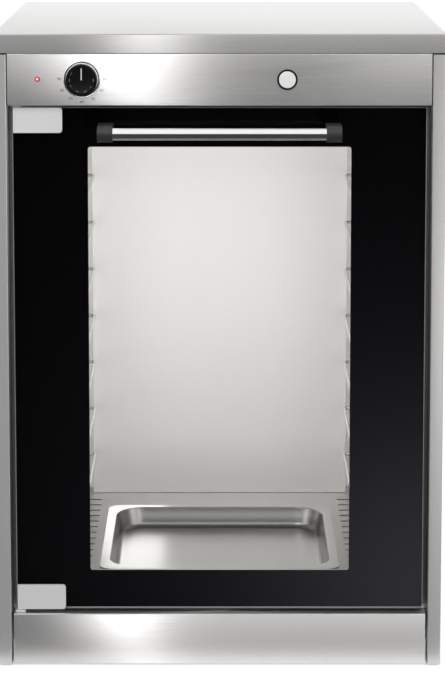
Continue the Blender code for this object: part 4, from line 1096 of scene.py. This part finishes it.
@dataclass
class OuterPanels:
    """The side panels, the control panel and the plinth, all folded from sheet."""

    sheet: float = 0.001
    bend: float = 0.0016
    lip: float = 0.0237
    rear_flange: float = 0.015
    control_return: float = 0.022
    plinth_return: float = 0.018
    softness: float = 0.0002
    drill_depth: float = 0.012
    shaft_hole: float = 0.005
    lamp_hole: float = 0.0033
    switch_hole: float = 0.0123

    def build(self) -> None:
        """Fold all four."""
        self.side_panels()
        self.control_panel()
        self.plinth()

    def side_panels(self) -> None:
        """Fold the side panels with their front and rear flanges."""
        for name, sign in (("left", -1), ("right", 1)):
            box = Box.of(f"side_panel_{name}")
            outer = box.high.x if sign > 0 else box.low.x
            inner = box.low.x if sign > 0 else box.high.x
            outline = (
                (inner, FRONT + self.lip, box.low.z), (inner, FRONT, box.low.z),
                (outer, FRONT, box.low.z), (outer, box.high.y, box.low.z),
                (outer - sign * self.rear_flange, box.high.y, box.low.z),
            )
            piece = folded(
                f"side_{name}", outline, (0, 0, box.size.z), self.bend, self.sheet, -sign
            )
            soften(piece, self.softness, 2, 50)
            piece.data.materials.append(material_of(SIDE_STEEL))
            piece.data.materials.append(material_of(FLANGE_STEEL))
            for face in piece.data.polygons:
                face.material_index = int(abs(face.normal.y) > 0.5)
            fit(piece, SIDE_STEEL, "cabinet", f"side_panel_{name}")

    def strip(self, node: str, name: str, ledge: float) -> bpy.types.Object:
        """Fold a level strip whose face lies in the front plane.

        Args:
            node: The node whose space it takes.
            name: The piece's name.
            ledge: How far its lower edge turns back.

        Returns:
            The folded strip.
        """
        box = Box.of(node)
        outline = (
            (box.low.x, box.high.y, box.high.z), (box.low.x, FRONT, box.high.z),
            (box.low.x, FRONT, box.low.z), (box.low.x, FRONT + ledge, box.low.z),
        )
        return folded(name, outline, (box.size.x, 0, 0), self.bend, self.sheet)

    def control_panel(self) -> None:
        """Fold the control panel and drill it for the knob, the lamp and the switch."""
        piece = self.strip("control_panel", "control_front", self.control_return)
        holes = {
            "thermostat_knob": self.shaft_hole, "pilot_lamp": self.lamp_hole, "push_button": self.switch_hole,
        }
        for node, radius in holes.items():
            middle = Box.of(node).centre
            drill(piece, (middle.x, FRONT, middle.z), radius, self.drill_depth)
        soften(piece, self.softness, 2, 50)
        fit(piece, FRONT_STEEL, "cabinet", "control_panel")

    def plinth(self) -> None:
        """Fold the plinth panel with its ledge."""
        piece = self.strip("plinth_panel", "plinth_front", self.plinth_return)
        soften(piece, self.softness, 2, 50)
        fit(piece, FRONT_STEEL, "cabinet", "plinth_panel")


@dataclass
class Numerals:
    """Small figures, printed flat and facing the front."""

    height: float
    raise_by: float = 0.00005

    def figure(self, text: str, centre: Sequence[float], turn: float = 0.0) -> bpy.types.Object:
        """Make one figure, turned clockwise by an angle in radians.

        Args:
            text: The figure.
            centre: Its middle.
            turn: How far it is turned.

        Returns:
            The figure as a mesh.
        """
        deselect()
        bpy.ops.object.text_add()
        piece = bpy.context.object
        piece.data.body = text
        piece.data.size = self.height
        piece.data.align_x = "CENTER"
        piece.data.align_y = "CENTER"
        piece.data.extrude = self.raise_by
        piece.data.resolution_u = 4
        bpy.ops.object.convert(target="MESH")
        face_front = Matrix.Rotation(math.pi / 2, 4, "X") @ Matrix.Rotation(-turn, 4, "Z")
        piece.data.transform(Matrix.Translation(centre) @ face_front)
        return piece


@dataclass
class Controls:
    """The thermostat knob with its ring and scale, the pilot lamp and the push button."""

    knob_radius: float = 0.0205
    knob_front: float = 0.016
    knob_back: float = 0.0012
    flutes: int = 40
    flute_depth: float = 0.0003
    pointer_width: float = 0.0012
    pointer_length: float = 0.0155
    pointer_proud: float = 0.0003
    ring_bore: float = 0.0215
    ring_radius: float = 0.0245
    ring_proud: float = 0.003
    scale_radius: float = 0.0298
    knob_scale_radius: float = 0.0166
    knob_scale: dict[int, str] = field(default_factory=lambda: {
        90: "30", 125: "40", 161: "50", 200: "60", 238: "70", 270: "80", 303: "90",
    })
    panel_scale: dict[int, str] = field(default_factory=lambda: {
        0: "0", 60: "20", 90: "30", 120: "40", 150: "50", 180: "60", 210: "70", 240: "80", 270: "90",
    })

    def build(self) -> None:
        """Model every control."""
        middle = Box.of("thermostat_knob").centre
        centre = Vector((middle.x, FRONT, middle.z))
        self.knob(centre)
        self.ring(centre)
        self.scales(centre)
        self.lamp()
        self.button()

    def knob(self, centre: Vector) -> None:
        """Turn the knob, flute its side and lay the pointer in its face.

        Args:
            centre: Where the knob's axis meets the panel.
        """
        out, front, back, edge = self.knob_radius, -self.knob_front, -self.knob_back, 0.0015
        profile = [
            (0, front + 0.0005), (out - 0.0050, front + 0.0005), (out - 0.0042, front + 0.0002),
            *arc((out - edge, front + edge), edge, 270, 360, 5),
            (out, front + 0.004), (out, back - 0.0015), (out - 0.0006, back), (0, back),
        ]
        piece = lathe("knob", profile, centre, steps=self.flutes * 4)
        step = 2 * math.pi / (self.flutes * 4)
        for vert in piece.data.vertices:
            flat = Vector((vert.co.x - centre.x, 0, vert.co.z - centre.z))
            inside = front + 0.003 < vert.co.y - centre.y < back - 0.0005
            if inside and flat.length > out - 0.0002:
                index = round(math.atan2(flat.z, flat.x) / step)
                if index % 4 in (0, 1):
                    vert.co -= flat.normalized() * self.flute_depth
        smooth(piece, 40)
        fit(piece, BLACK_PLASTIC, "knob", "thermostat_knob")
        y = centre.y + front + 0.0005
        pointer = cube(
            "knob_pointer", (centre.x - self.pointer_width / 2, y - 0.0001, centre.z),
            (centre.x + self.pointer_width / 2, y + self.pointer_proud, centre.z + self.pointer_length),
        )
        soften(pointer, 0.0001, 2)
        fit(pointer, WHITE_PLASTIC, "knob")

    def ring(self, centre: Vector) -> None:
        """Turn the chrome ring round the knob.

        Args:
            centre: Where the knob's axis meets the panel.
        """
        radius = (self.ring_radius - self.ring_bore) / 2
        middle = (self.ring_radius + self.ring_bore) / 2
        profile = [
            (self.ring_bore, -0.0003), *arc((middle, -self.ring_proud + radius), radius, 180, 360, 10),
            (self.ring_radius, -0.0003), (self.ring_bore, -0.0003),
        ]
        piece = lathe("knob_ring", profile, centre, steps=96)
        smooth(piece)
        fit(piece, RING_CHROME, "cabinet", "knob_bezel")

    def scales(self, centre: Vector) -> None:
        """Print the figures on the knob's face and round it on the panel.

        Args:
            centre: Where the knob's axis meets the panel.
        """
        white = Numerals(0.0042)
        face = centre.y - self.knob_front + 0.00045
        figures = [
            white.figure(text, self.around(centre, angle, self.knob_scale_radius, face), math.radians(angle))
            for angle, text in self.knob_scale.items()
        ]
        fit(joined("knob_figures", figures), WHITE_PLASTIC, "knob")
        dark = Numerals(0.0052)
        figures = [
            dark.figure(text, self.around(centre, angle, self.scale_radius, FRONT - 0.00004))
            for angle, text in self.panel_scale.items()
        ]
        fit(joined("panel_figures", figures), PANEL_INK, "cabinet")

    @staticmethod
    def around(centre: Vector, angle: float, radius: float, depth: float) -> Vector:
        """Find a place round a centre, by its clockwise angle from the top in degrees."""
        turn = math.radians(angle)
        return Vector((centre.x + radius * math.sin(turn), depth, centre.z + radius * math.cos(turn)))

    def lamp(self) -> None:
        """Turn the pilot lamp: a domed red lens in its own flange."""
        box = Box.of("pilot_lamp")
        centre = (box.centre.x, FRONT, box.centre.z)
        profile = [
            (0, -0.0024), (0.0012, -0.00225), (0.0022, -0.0018), (0.0027, -0.0012), (0.0028, -0.0009),
            (0.0034, -0.0008), (0.0036, -0.0005), (0.0036, -0.0001), (0.0029, -0.0001), (0.0029, 0.0178),
            (0, 0.0180),
        ]
        piece = lathe("lamp_lens", profile, centre, steps=48)
        smooth(piece)
        lens = LampLens("lamp_lens", "lamp_red", (box.centre.x, FRONT, box.centre.z))
        fit(piece, lens, "cabinet", "pilot_lamp")

    def button(self) -> None:
        """Turn the switch's black ring with its barrel, and the white button in it."""
        middle = Box.of("push_button").centre
        centre = (middle.x, FRONT, middle.z)
        ring = [
            (0.0113, -0.0012), *arc((0.0118, -0.0017), 0.0005, 180, 270, 3),
            *arc((0.0129, -0.0016), 0.0006, 270, 360, 4), (0.0135, -0.0002), (0.0120, -0.0002),
            (0.0120, 0.0208), (0, 0.0208), (0, 0.0095), (0.0113, 0.0095), (0.0113, -0.0012),
        ]
        body = lathe("switch_ring", ring, centre, steps=80)
        smooth(body)
        fit(body, BLACK_PLASTIC, "cabinet", "switch_body")
        cap = [
            (0, -0.0055), (0.0060, -0.0053), *arc((0.0098, -0.0040), 0.0012, 275, 360, 6),
            (0.0110, 0.0052), (0.0106, 0.0057), (0, 0.0057),
        ]
        button = lathe("button_cap", cap, centre, steps=80)
        smooth(button)
        fit(button, WHITE_PLASTIC, "button", "push_button")


@dataclass
class GlassDoor:
    """The pane with its fired border, the hinges, the seal and the catch."""

    corner: float = 0.0035
    arris: float = 0.0007

    def build(self) -> None:
        """Model the pane and refine the metal on it."""
        box = Box.of("door_glass")
        pane = cube("glass_pane", box.low, box.high)
        with editing(pane):
            pick(pane, Pick.EDGES, lambda edge: abs(edge.verts[0].co.y - edge.verts[1].co.y) > self.arris)
            bpy.ops.mesh.bevel(offset=self.corner, segments=6, affect="EDGES")
        soften(pane, self.arris, 3, 50)
        pane.data.materials.append(material_of(GLASS))
        pane.data.materials.append(material_of(GLASS_EDGE))
        for face in pane.data.polygons:
            face.material_index = 0 if abs(face.normal.y) > 0.999 else 1
        fit(pane, GLASS, "door", "door_glass")
        dress("glass_border", ENAMEL)
        for place in ("upper", "lower"):
            plate = refined(f"hinge_plate_{place}", f"hinge_face_{place}", 0.0009, 3)
            fit(plate, HINGE_STEEL, "door", f"hinge_plate_{place}")
            clamp = refined(f"hinge_clamp_{place}", f"hinge_back_{place}", 0.0005)
            fit(clamp, HINGE_STEEL, "door", f"hinge_clamp_{place}")
            tongue = refined(f"hinge_bracket_{place}", f"hinge_tongue_{place}", 0.0003)
            fit(tongue, HINGE_STEEL, "cabinet", f"hinge_bracket_{place}")
        fit(refined("door_seal", "seal_profile", 0.0008, 3), SEAL_RUBBER, "cabinet", "door_seal")
        fit(refined("magnet_catch", "catch_magnet", 0.0005), MOUNT_PLASTIC, "cabinet", "magnet_catch")
        fit(refined("catch_strike", "catch_plate", 0.0003), SCREW_ZINC, "door", "catch_strike")


@dataclass
class Handle:
    """The chrome bar and its two dark mounts."""

    sides: int = 72

    def build(self) -> None:
        """Turn the bar and round the mounts."""
        box = Box.of("handle_bar")
        radius = box.size.z / 2
        half = box.size.x / 2
        profile = [
            (0, -half), (radius - 0.0005, -half), (radius, 0.0005 - half), (radius, half - 0.0005),
            (radius - 0.0005, half), (0, half),
        ]
        bar = lathe("handle_tube", profile, box.centre, (1, 0, 0), self.sides)
        smooth(bar)
        fit(bar, CHROME, "door", "handle_bar")
        for side in ("left", "right"):
            mount = refined(f"handle_mount_{side}", f"handle_end_{side}", 0.0012, 3)
            fit(mount, MOUNT_PLASTIC, "door", f"handle_mount_{side}")
            screw = refined(f"handle_screw_{side}", f"handle_bolt_{side}", 0.0004)
            fit(screw, SCREW_ZINC, "door", f"handle_screw_{side}")


@dataclass
class TrayRacks:
    """The welded wire racks, with a U-shaped rail for each tray."""

    wire: float = 0.0022
    bend: float = 0.0055
    rails: int = 8
    first: float = 0.188
    pitch: float = 0.070

    def build(self) -> None:
        """Bend and join the wires of both racks."""
        for name, sign in (("left", -1), ("right", 1)):
            box = Box.of(f"rack_{name}")
            low = box.low + Vector((self.wire,) * 3)
            high = box.high - Vector((self.wire,) * 3)
            wall, reach = (high.x, low.x) if sign > 0 else (low.x, high.x)
            loop = [
                (wall, low.y, low.z), (wall, high.y, low.z), (wall, high.y, high.z), (wall, low.y, high.z),
            ]
            wires = [self.bent(loop, True)]
            for index in range(self.rails):
                height = self.first + index * self.pitch
                rail = [
                    (wall, low.y, height), (reach, low.y, height), (reach, high.y, height),
                    (wall, high.y, height),
                ]
                wires.append(self.bent(rail, False))
            piece = joined(f"wire_rack_{name}", wires)
            smooth(piece, 60)
            fit(piece, RACK_CHROME, "cabinet", f"rack_{name}")
        for place in ("front_left", "front_right", "rear_left", "rear_right"):
            stud = refined(f"rack_stud_{place}", f"rack_hook_{place}", 0.0005)
            fit(stud, RACK_CHROME, "cabinet", f"rack_stud_{place}")

    def bent(self, corners: Sequence[Sequence[float]], closed: bool) -> bpy.types.Object:
        """Bend one wire through its corners.

        Args:
            corners: The wire's sharp corners in order.
            closed: Whether the wire is a loop.

        Returns:
            The wire as a mesh.
        """
        points = [Vector(corner) for corner in corners]
        path: list[Vector] = [] if closed else [points[0]]
        count = len(points)
        turning = range(count) if closed else range(1, count - 1)
        for index in turning:
            here = points[index]
            before = (points[index - 1] - here).normalized()
            after = (points[(index + 1) % count] - here).normalized()
            middle = here + (before + after) * self.bend
            for step in range(7):
                turn = math.pi / 2 * step / 6
                path.append(middle - after * self.bend * math.cos(turn) - before * self.bend * math.sin(turn))
        if not closed:
            path.append(points[-1])
        curve = bpy.data.curves.new("wire", "CURVE")
        curve.dimensions = "3D"
        curve.bevel_depth = self.wire
        curve.bevel_resolution = 4
        curve.use_fill_caps = True
        spline = curve.splines.new("POLY")
        spline.points.add(len(path) - 1)
        for point, place in zip(spline.points, path):
            point.co = (*place, 1)
        spline.use_cyclic_u = closed
        piece = bpy.data.objects.new("wire", curve)
        bpy.context.collection.objects.link(piece)
        take(piece)
        bpy.ops.object.convert(target="MESH")
        return bpy.context.object


@dataclass
class WaterTray:
    """The pressed water tray: a flat rim, a rolled lip, a sloping wall and a round foot."""

    rim: float = 0.011
    rim_corner: float = 0.020
    bowl_corner: float = 0.045
    lip: float = 0.0022
    slope: float = 0.0060
    foot: float = 0.0075
    sheet: float = 0.001
    corner_steps: int = 16

    def steps(self, depth: float) -> list[tuple[float, float]]:
        """List the insets and drops that lead from the lip down to the bottom.

        Args:
            depth: From the rim down to the bottom.

        Returns:
            Each step's inset and drop.
        """
        quarter = [math.pi / 2 * step / 6 for step in range(7)]
        moves = [
            (self.lip * (math.sin(b) - math.sin(a)), self.lip * (math.cos(a) - math.cos(b)))
            for a, b in zip(quarter, quarter[1:])
        ]
        wall = depth - self.lip - self.foot
        moves += [(self.slope / 2, wall / 2)] * 2
        moves += [
            (self.foot * (math.cos(a) - math.cos(b)), self.foot * (math.sin(b) - math.sin(a)))
            for a, b in zip(quarter, quarter[1:])
        ]
        return moves

    def build(self) -> None:
        """Press the tray out of two outlines."""
        box = Box.of("water_tray")
        rim_z = box.high.z
        outer = self.outline("tray_rim", box, 0.0, self.rim_corner, rim_z)
        bowl = self.outline("tray_bowl", box, self.rim, self.bowl_corner, rim_z)
        with editing(outer):
            pick(outer, Pick.FACES, lambda face: True)
            bpy.ops.mesh.delete(type="ONLY_FACE")
        with editing(bowl):
            pick(bowl, Pick.FACES, lambda face: True)
            for inset, drop in self.steps(box.size.z - self.sheet):
                bpy.ops.mesh.inset(thickness=max(inset, 1e-5), depth=-drop, use_even_offset=True)
        piece = joined("water_pan", [bowl, outer])
        with editing(piece):
            pick(piece, Pick.EDGES, lambda edge: edge.is_wire or edge.is_boundary)
            bpy.ops.mesh.fill(use_beauty=True)
        tidy(piece)
        if self.top_normal(piece) < 0:
            turn_over(piece)
        modify(piece, "SOLIDIFY", thickness=self.sheet, offset=-1.0, use_even_offset=True)
        soften(piece, 0.0003, 2, 60)
        smooth(piece, 40)
        fit(piece, SHADED_TRAY_STEEL, "tray", "water_tray")

    @staticmethod
    def top_normal(piece: bpy.types.Object) -> float:
        """Tell which way the largest face looks, up or down."""
        return max(piece.data.polygons, key=lambda face: face.area).normal.z

    def outline(
        self, name: str, box: Box, inset: float, corner: float, height: float
    ) -> bpy.types.Object:
        """Add a flat plate with rounded corners.

        Args:
            name: The plate's name.
            box: The tray's box.
            inset: How far the plate stays inside the box.
            corner: The radius of its corners.
            height: Where it lies.

        Returns:
            The plate.
        """
        size = box.size
        deselect()
        bpy.ops.mesh.primitive_plane_add(
            size=1, location=(box.centre.x, box.centre.y, height)
        )
        piece = bpy.context.object
        piece.scale = (size.x - 2 * inset, size.y - 2 * inset, 1)
        named(settle(piece), name)
        with editing(piece):
            bpy.ops.mesh.select_all(action="SELECT")
            bpy.ops.mesh.bevel(offset=corner, segments=self.corner_steps, affect="VERTICES")
        return piece


@dataclass
class Cavity:
    """The proofing chamber: walls, ceiling, baffle and slotted floor, with what is fixed in it."""

    def build(self) -> None:
        """Dress the chamber."""
        for node in ("cavity_wall_left", "cavity_wall_right", "cavity_ceiling", "cavity_rear_wall"):
            dress(node, CAVITY_STEEL)
        fit(refined("air_baffle", "baffle_plate", 0.0004), CAVITY_STEEL, "cabinet", "air_baffle")
        # The slotted floor is dressed with the darker floor sheet, which is painted shade.
        fit(refined("cavity_floor", "slotted_floor", 0.0002), SHADED_FLOOR_STEEL, "cabinet", "cavity_floor")
        fit(refined("front_frame", "mouth_frame", 0.0003), FRAME_STEEL, "cabinet", "front_frame")
        fit(refined("temperature_probe", "probe_tube", 0.0003), RACK_CHROME, "cabinet", "temperature_probe")


@dataclass
class Backside:
    """The rear panel with its vents, screws and cable gland."""

    shank: float = 0.0019
    cross_length: float = 0.0044
    cross_width: float = 0.0008
    cross_depths: tuple[float, float] = (0.0012, 0.0011)

    def build(self) -> None:
        """Dress the back."""
        fit(refined("rear_panel", "back_sheet", 0.0002), ZINC, "cabinet", "rear_panel")
        fit(refined("cable_gland", "gland", 0.0006, 3), BLACK_PLASTIC, "cabinet", "cable_gland")
        for index in range(1, 5):
            box = Box.of(f"rear_screw_{index}")
            screw = self.screw(f"pan_screw_{index}", box)
            fit(screw, SCREW_ZINC, "cabinet", f"rear_screw_{index}")

    def screw(self, name: str, box: Box) -> bpy.types.Object:
        """Turn a pan-head screw and press a cross in its head.

        Args:
            name: The screw's name.
            box: The space that it takes.

        Returns:
            The screw.
        """
        head, end = box.size.x / 2, box.high.y
        profile = [
            (0, end), (head * 0.45, end - 0.0001), (head * 0.8, end - 0.0006), (head, end - 0.0013),
            (head, end - 0.0020), (self.shank, end - 0.0020), (self.shank, box.low.y + 0.001),
            (0, box.low.y),
        ]
        piece = lathe(name, profile, (box.centre.x, 0, box.centre.z), (0, 1, 0), 40)
        long, thin = self.cross_length / 2, self.cross_width / 2
        for (wide, tall), deep in zip(((long, thin), (thin, long)), self.cross_depths):
            bit = cube(
                "cross", (box.centre.x - wide, end - deep, box.centre.z - tall),
                (box.centre.x + wide, end + 0.001, box.centre.z + tall),
            )
            modify(piece, "BOOLEAN", operation="DIFFERENCE", solver="FAST", object=bit)
            bpy.data.objects.remove(bit)
        return smooth(piece)


@dataclass
class Underside:
    """The base pan and the four feet."""

    def build(self) -> None:
        """Dress what is under the cabinet."""
        fit(refined("base_pan", "pan_sheet", 0.0004), ZINC, "cabinet", "base_pan")
        for place in ("front_left", "front_right", "rear_left", "rear_right"):
            box = Box.of(f"foot_{place}")
            wide, tall = box.size.x / 2, box.size.z
            profile = [
                (0, 0), (wide - 0.004, 0), *arc((wide - 0.002, 0.002), 0.002, 270, 360, 4),
                (wide, 0.008), (wide - 0.0008, 0.0088), (wide - 0.0008, 0.0112), (wide, 0.012),
                (wide - 0.002, tall - 0.001), (wide - 0.003, tall), (0, tall),
            ]
            foot = lathe(f"rubber_foot_{place}", profile, (box.centre.x, box.centre.y, 0), (0, 0, 1), 64)
            smooth(foot)
            fit(foot, FOOT_RUBBER, "cabinet", f"foot_{place}")


@dataclass
class Works:
    """What is hidden inside: the heater, the fan, the wiring and the stiffening rail."""

    def build(self) -> None:
        """Dress the hidden parts."""
        fit(refined("heating_element", "heater_tube", 0.0002), HEATER_STEEL, "cabinet", "heating_element")
        fit(refined("fan_impeller", "fan_wheel", 0.0002), FAN_PLASTIC, "impeller", "fan_impeller")
        for node in ("heater_bracket", "top_rail"):
            dress(node, ZINC)
        for node in ("fan_frame", "thermostat_body"):
            dress(node, FAN_PLASTIC)
        dress("terminal_block", WHITE_PLASTIC)


@dataclass
class Studio:
    """The pale floor, the soft lights and the camera at the photograph's angle."""

    lens: float = 149.0763
    distance: float = 3.62684
    height: float = 1.12767
    pitch: float = 7.82549
    shift_x: float = 0.0043
    shift_y: float = -0.20
    dim_level: float = 0.70
    white_level: float = 1.0

    def build(self) -> None:
        """Set the studio up."""
        self.camera()
        self.floor()
        self.cards()
        self.surround()
        self.lights()
        bpy.context.scene.view_settings.view_transform = "Standard"

    def camera(self) -> None:
        """Place the camera."""
        data = bpy.data.cameras.new("camera")
        data.lens = self.lens
        data.sensor_width = 36
        data.shift_x = self.shift_x
        data.shift_y = self.shift_y
        data.clip_end = 100
        camera = bpy.data.objects.new("camera", data)
        bpy.context.collection.objects.link(camera)
        camera.location = (0, FRONT - self.distance, self.height)
        camera.rotation_euler = (math.radians(90 - self.pitch), 0, 0)
        bpy.context.scene.camera = camera

    def floor(self) -> None:
        """Lay the pale floor."""
        deselect()
        bpy.ops.mesh.primitive_plane_add(size=60)
        floor = named(bpy.context.object, "studio_floor")
        floor.data.materials.append(PaleFloor("studio_floor").material())

    def cards(self) -> None:
        """Set up the dark cards that only reflections see, behind the camera and low in front."""
        cloth = DarkCloth("studio_card").material()
        for name, place, turn, size in (
            ("card_behind", (0, FRONT - 6.0, 0.95), math.pi / 2, (9, 1.9, 1)),
            ("card_below", (0, FRONT - 3.015, 0.004), 0.0, (9, 5.97, 1)),
        ):
            deselect()
            bpy.ops.mesh.primitive_plane_add(size=1, location=place, rotation=(turn, 0, 0))
            bpy.context.object.scale = size
            card = named(settle(bpy.context.object), name)
            card.data.materials.append(cloth)
            card.visible_camera = card.visible_diffuse = card.visible_shadow = False

    def surround(self) -> None:
        """Make the white surround, dimmer where it lights matt surfaces."""
        world = bpy.data.worlds.new("studio_air")
        bpy.context.scene.world = world
        world.use_nodes = True
        world.cycles.sampling_method = "NONE"
        tree = world.node_tree
        tree.nodes.clear()
        path = tree.nodes.new("ShaderNodeLightPath")
        seen = path.outputs["Is Camera Ray"]
        for ray in ("Is Glossy Ray", "Is Transmission Ray"):
            either = tree.nodes.new("ShaderNodeMath")
            either.operation = "MAXIMUM"
            tree.links.new(seen, either.inputs[0])
            tree.links.new(path.outputs[ray], either.inputs[1])
            seen = either.outputs[0]
        mix = tree.nodes.new("ShaderNodeMixShader")
        tree.links.new(seen, mix.inputs[0])
        for index, level in ((1, self.dim_level), (2, self.white_level)):
            air = tree.nodes.new("ShaderNodeBackground")
            air.inputs[0].default_value = (1, 1, 1, 1)
            air.inputs[1].default_value = level
            tree.links.new(air.outputs[0], mix.inputs[index])
        out = tree.nodes.new("ShaderNodeOutputWorld")
        tree.links.new(mix.outputs[0], out.inputs[0])

    def lights(self) -> None:
        """Hang the soft lights, each row with its place, its aim, its two sides and its power."""
        sheets = (
            "baffle_plate", "cavity_wall_left", "cavity_wall_right", "cavity_ceiling", "cavity_rear_wall",
            "rack_hook_rear_left", "rack_hook_rear_right", "probe_tube",
        )
        racks = ("wire_rack_left", "wire_rack_right")
        hinges = ("side_left", "hinge_face_upper", "hinge_face_lower")
        panel, cap, plinth = ("control_front",), ("worktop_cap",), ("plinth_front",)
        back = FRONT + 0.44
        for name, place, aim, wide, tall, power, onto, past in (
            ("key", (-1.6, FRONT - 1.8, 2.6), (0, 0, 0.5), 1.6, 1.6, 26, (), ()),
            ("fill", (1.9, FRONT - 2.2, 0.9), (0.2, FRONT, 0.2), 1.3, 1.0, 8, (), ()),
            ("rear", (0, 3.0, 1.7), (0, 0, 0.85), 3.0, 1.6, 16, (), ()),
            ("strip_high", (-0.247, FRONT - 3.6, 1.60), (-0.115, FRONT, 0.8), 0.08, 1.9, 12, panel, ()),
            ("strip_cap", (-0.30, FRONT - 3.6, 1.45), (-0.115, FRONT, 0.8), 0.26, 1.9, 5.2, cap, ()),
            ("broad_cap", (0.40, FRONT - 3.6, 1.45), (0.20, FRONT, 0.8), 1.6, 1.7, 3, cap, ()),
            ("strip_low", (-0.155, FRONT - 1.2, 0.14), (-0.115, FRONT, 0.06), 0.08, 0.22, 0.9, plinth, ()),
            ("broad", (0.80, FRONT - 3.6, 1.60), (0.30, FRONT, 0.5), 1.0, 1.7, 6.5, panel, ()),
            ("low", (0.52, FRONT - 1.2, 0.14), (0.3, FRONT, 0.06), 1.6, 0.22, 5, plinth, ()),
            ("side", (0.62, FRONT - 1.6, 0.18), (0.30, FRONT, 0.1), 0.6, 0.3, 2.2, ("side_right",), ()),
            ("rim", (2.6, FRONT - 2.4, 0.80), (0, FRONT, 0.45), 0.5, 2.0, 18, hinges, ()),
            ("ring", (-0.1, FRONT - 0.6, 0.35), (-0.19, FRONT, 0.79), 0.5, 0.3, 1.6, ("knob_ring",), ()),
            ("corner", (0.30, FRONT - 0.28, 0.10), (0.25, FRONT, 0.10), 0.14, 0.14, 22, ("glass_border",), ()),
            ("window", (0, FRONT - 0.5, 0.66), (0, back, 0.60), 1.6, 1.28, 8.3, sheets, racks),
            ("wing_1", (-0.75, FRONT - 0.5, 0.66), (-0.15, back, 0.60), 0.6, 1.28, 8.6, sheets, racks),
            ("wing_3", (0.75, FRONT - 0.5, 0.66), (0.15, back, 0.60), 0.6, 1.28, 8.6, sheets, racks),
            ("sill", (0, FRONT - 1.5, 0.70), (0, FRONT, 0.55), 2.2, 1.5, 1.8, ("slotted_floor",), ()),
            ("pan", (-0.13, back, 0.19), (-0.11, FRONT + 0.2, 0.09), 0.10, 0.10, 0.055, ("water_pan",), ()),
        ):
            self.area(name, place, aim, wide, tall, power, onto, past, name != "corner")

    @staticmethod
    def area(
        name: str, place: Sequence[float], aim: Sequence[float], wide: float, tall: float, power: float,
        onto: Sequence[str] = (), past: Sequence[str] = (), shine: bool = True,
    ) -> None:
        """Add a soft light.

        Args:
            name: The light's name.
            place: Its middle.
            aim: The point that it faces.
            wide: Its width.
            tall: Its height.
            power: Its power in watts.
            onto: The pieces that it lights, or none for everything.
            past: The only pieces that throw a shadow in it, or none for everything.
            shine: Whether glossy surfaces show it.
        """
        data = bpy.data.lights.new(name, "AREA")
        data.shape = "RECTANGLE"
        data.size = wide
        data.size_y = tall
        data.energy = power
        light = bpy.data.objects.new(name, data)
        bpy.context.collection.objects.link(light)
        light.location = place
        light.rotation_euler = (Vector(aim) - Vector(place)).to_track_quat("-Z", "Y").to_euler()
        light.visible_camera = False
        light.visible_glossy = shine
        links = (("lit", onto, "receiver_collection"), ("past", past, "blocker_collection"))
        for title, pieces, side in links:
            if pieces:
                group = bpy.data.collections.new(f"{name}_{title}")
                for piece in pieces:
                    group.objects.link(bpy.data.objects[piece])
                setattr(light.light_linking, side, group)


def main() -> None:
    """Build every sub-assembly in order, then the studio."""
    logging.basicConfig(level=logging.INFO, format="%(message)s")
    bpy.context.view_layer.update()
    for assembly in (
        WorktopCap(), OuterPanels(), Controls(), GlassDoor(), Handle(), TrayRacks(), WaterTray(),
        Cavity(), Backside(), Underside(), Works(), Studio(),
    ):
        assembly.build()
    deselect()


if __name__ == "__main__":
    main()
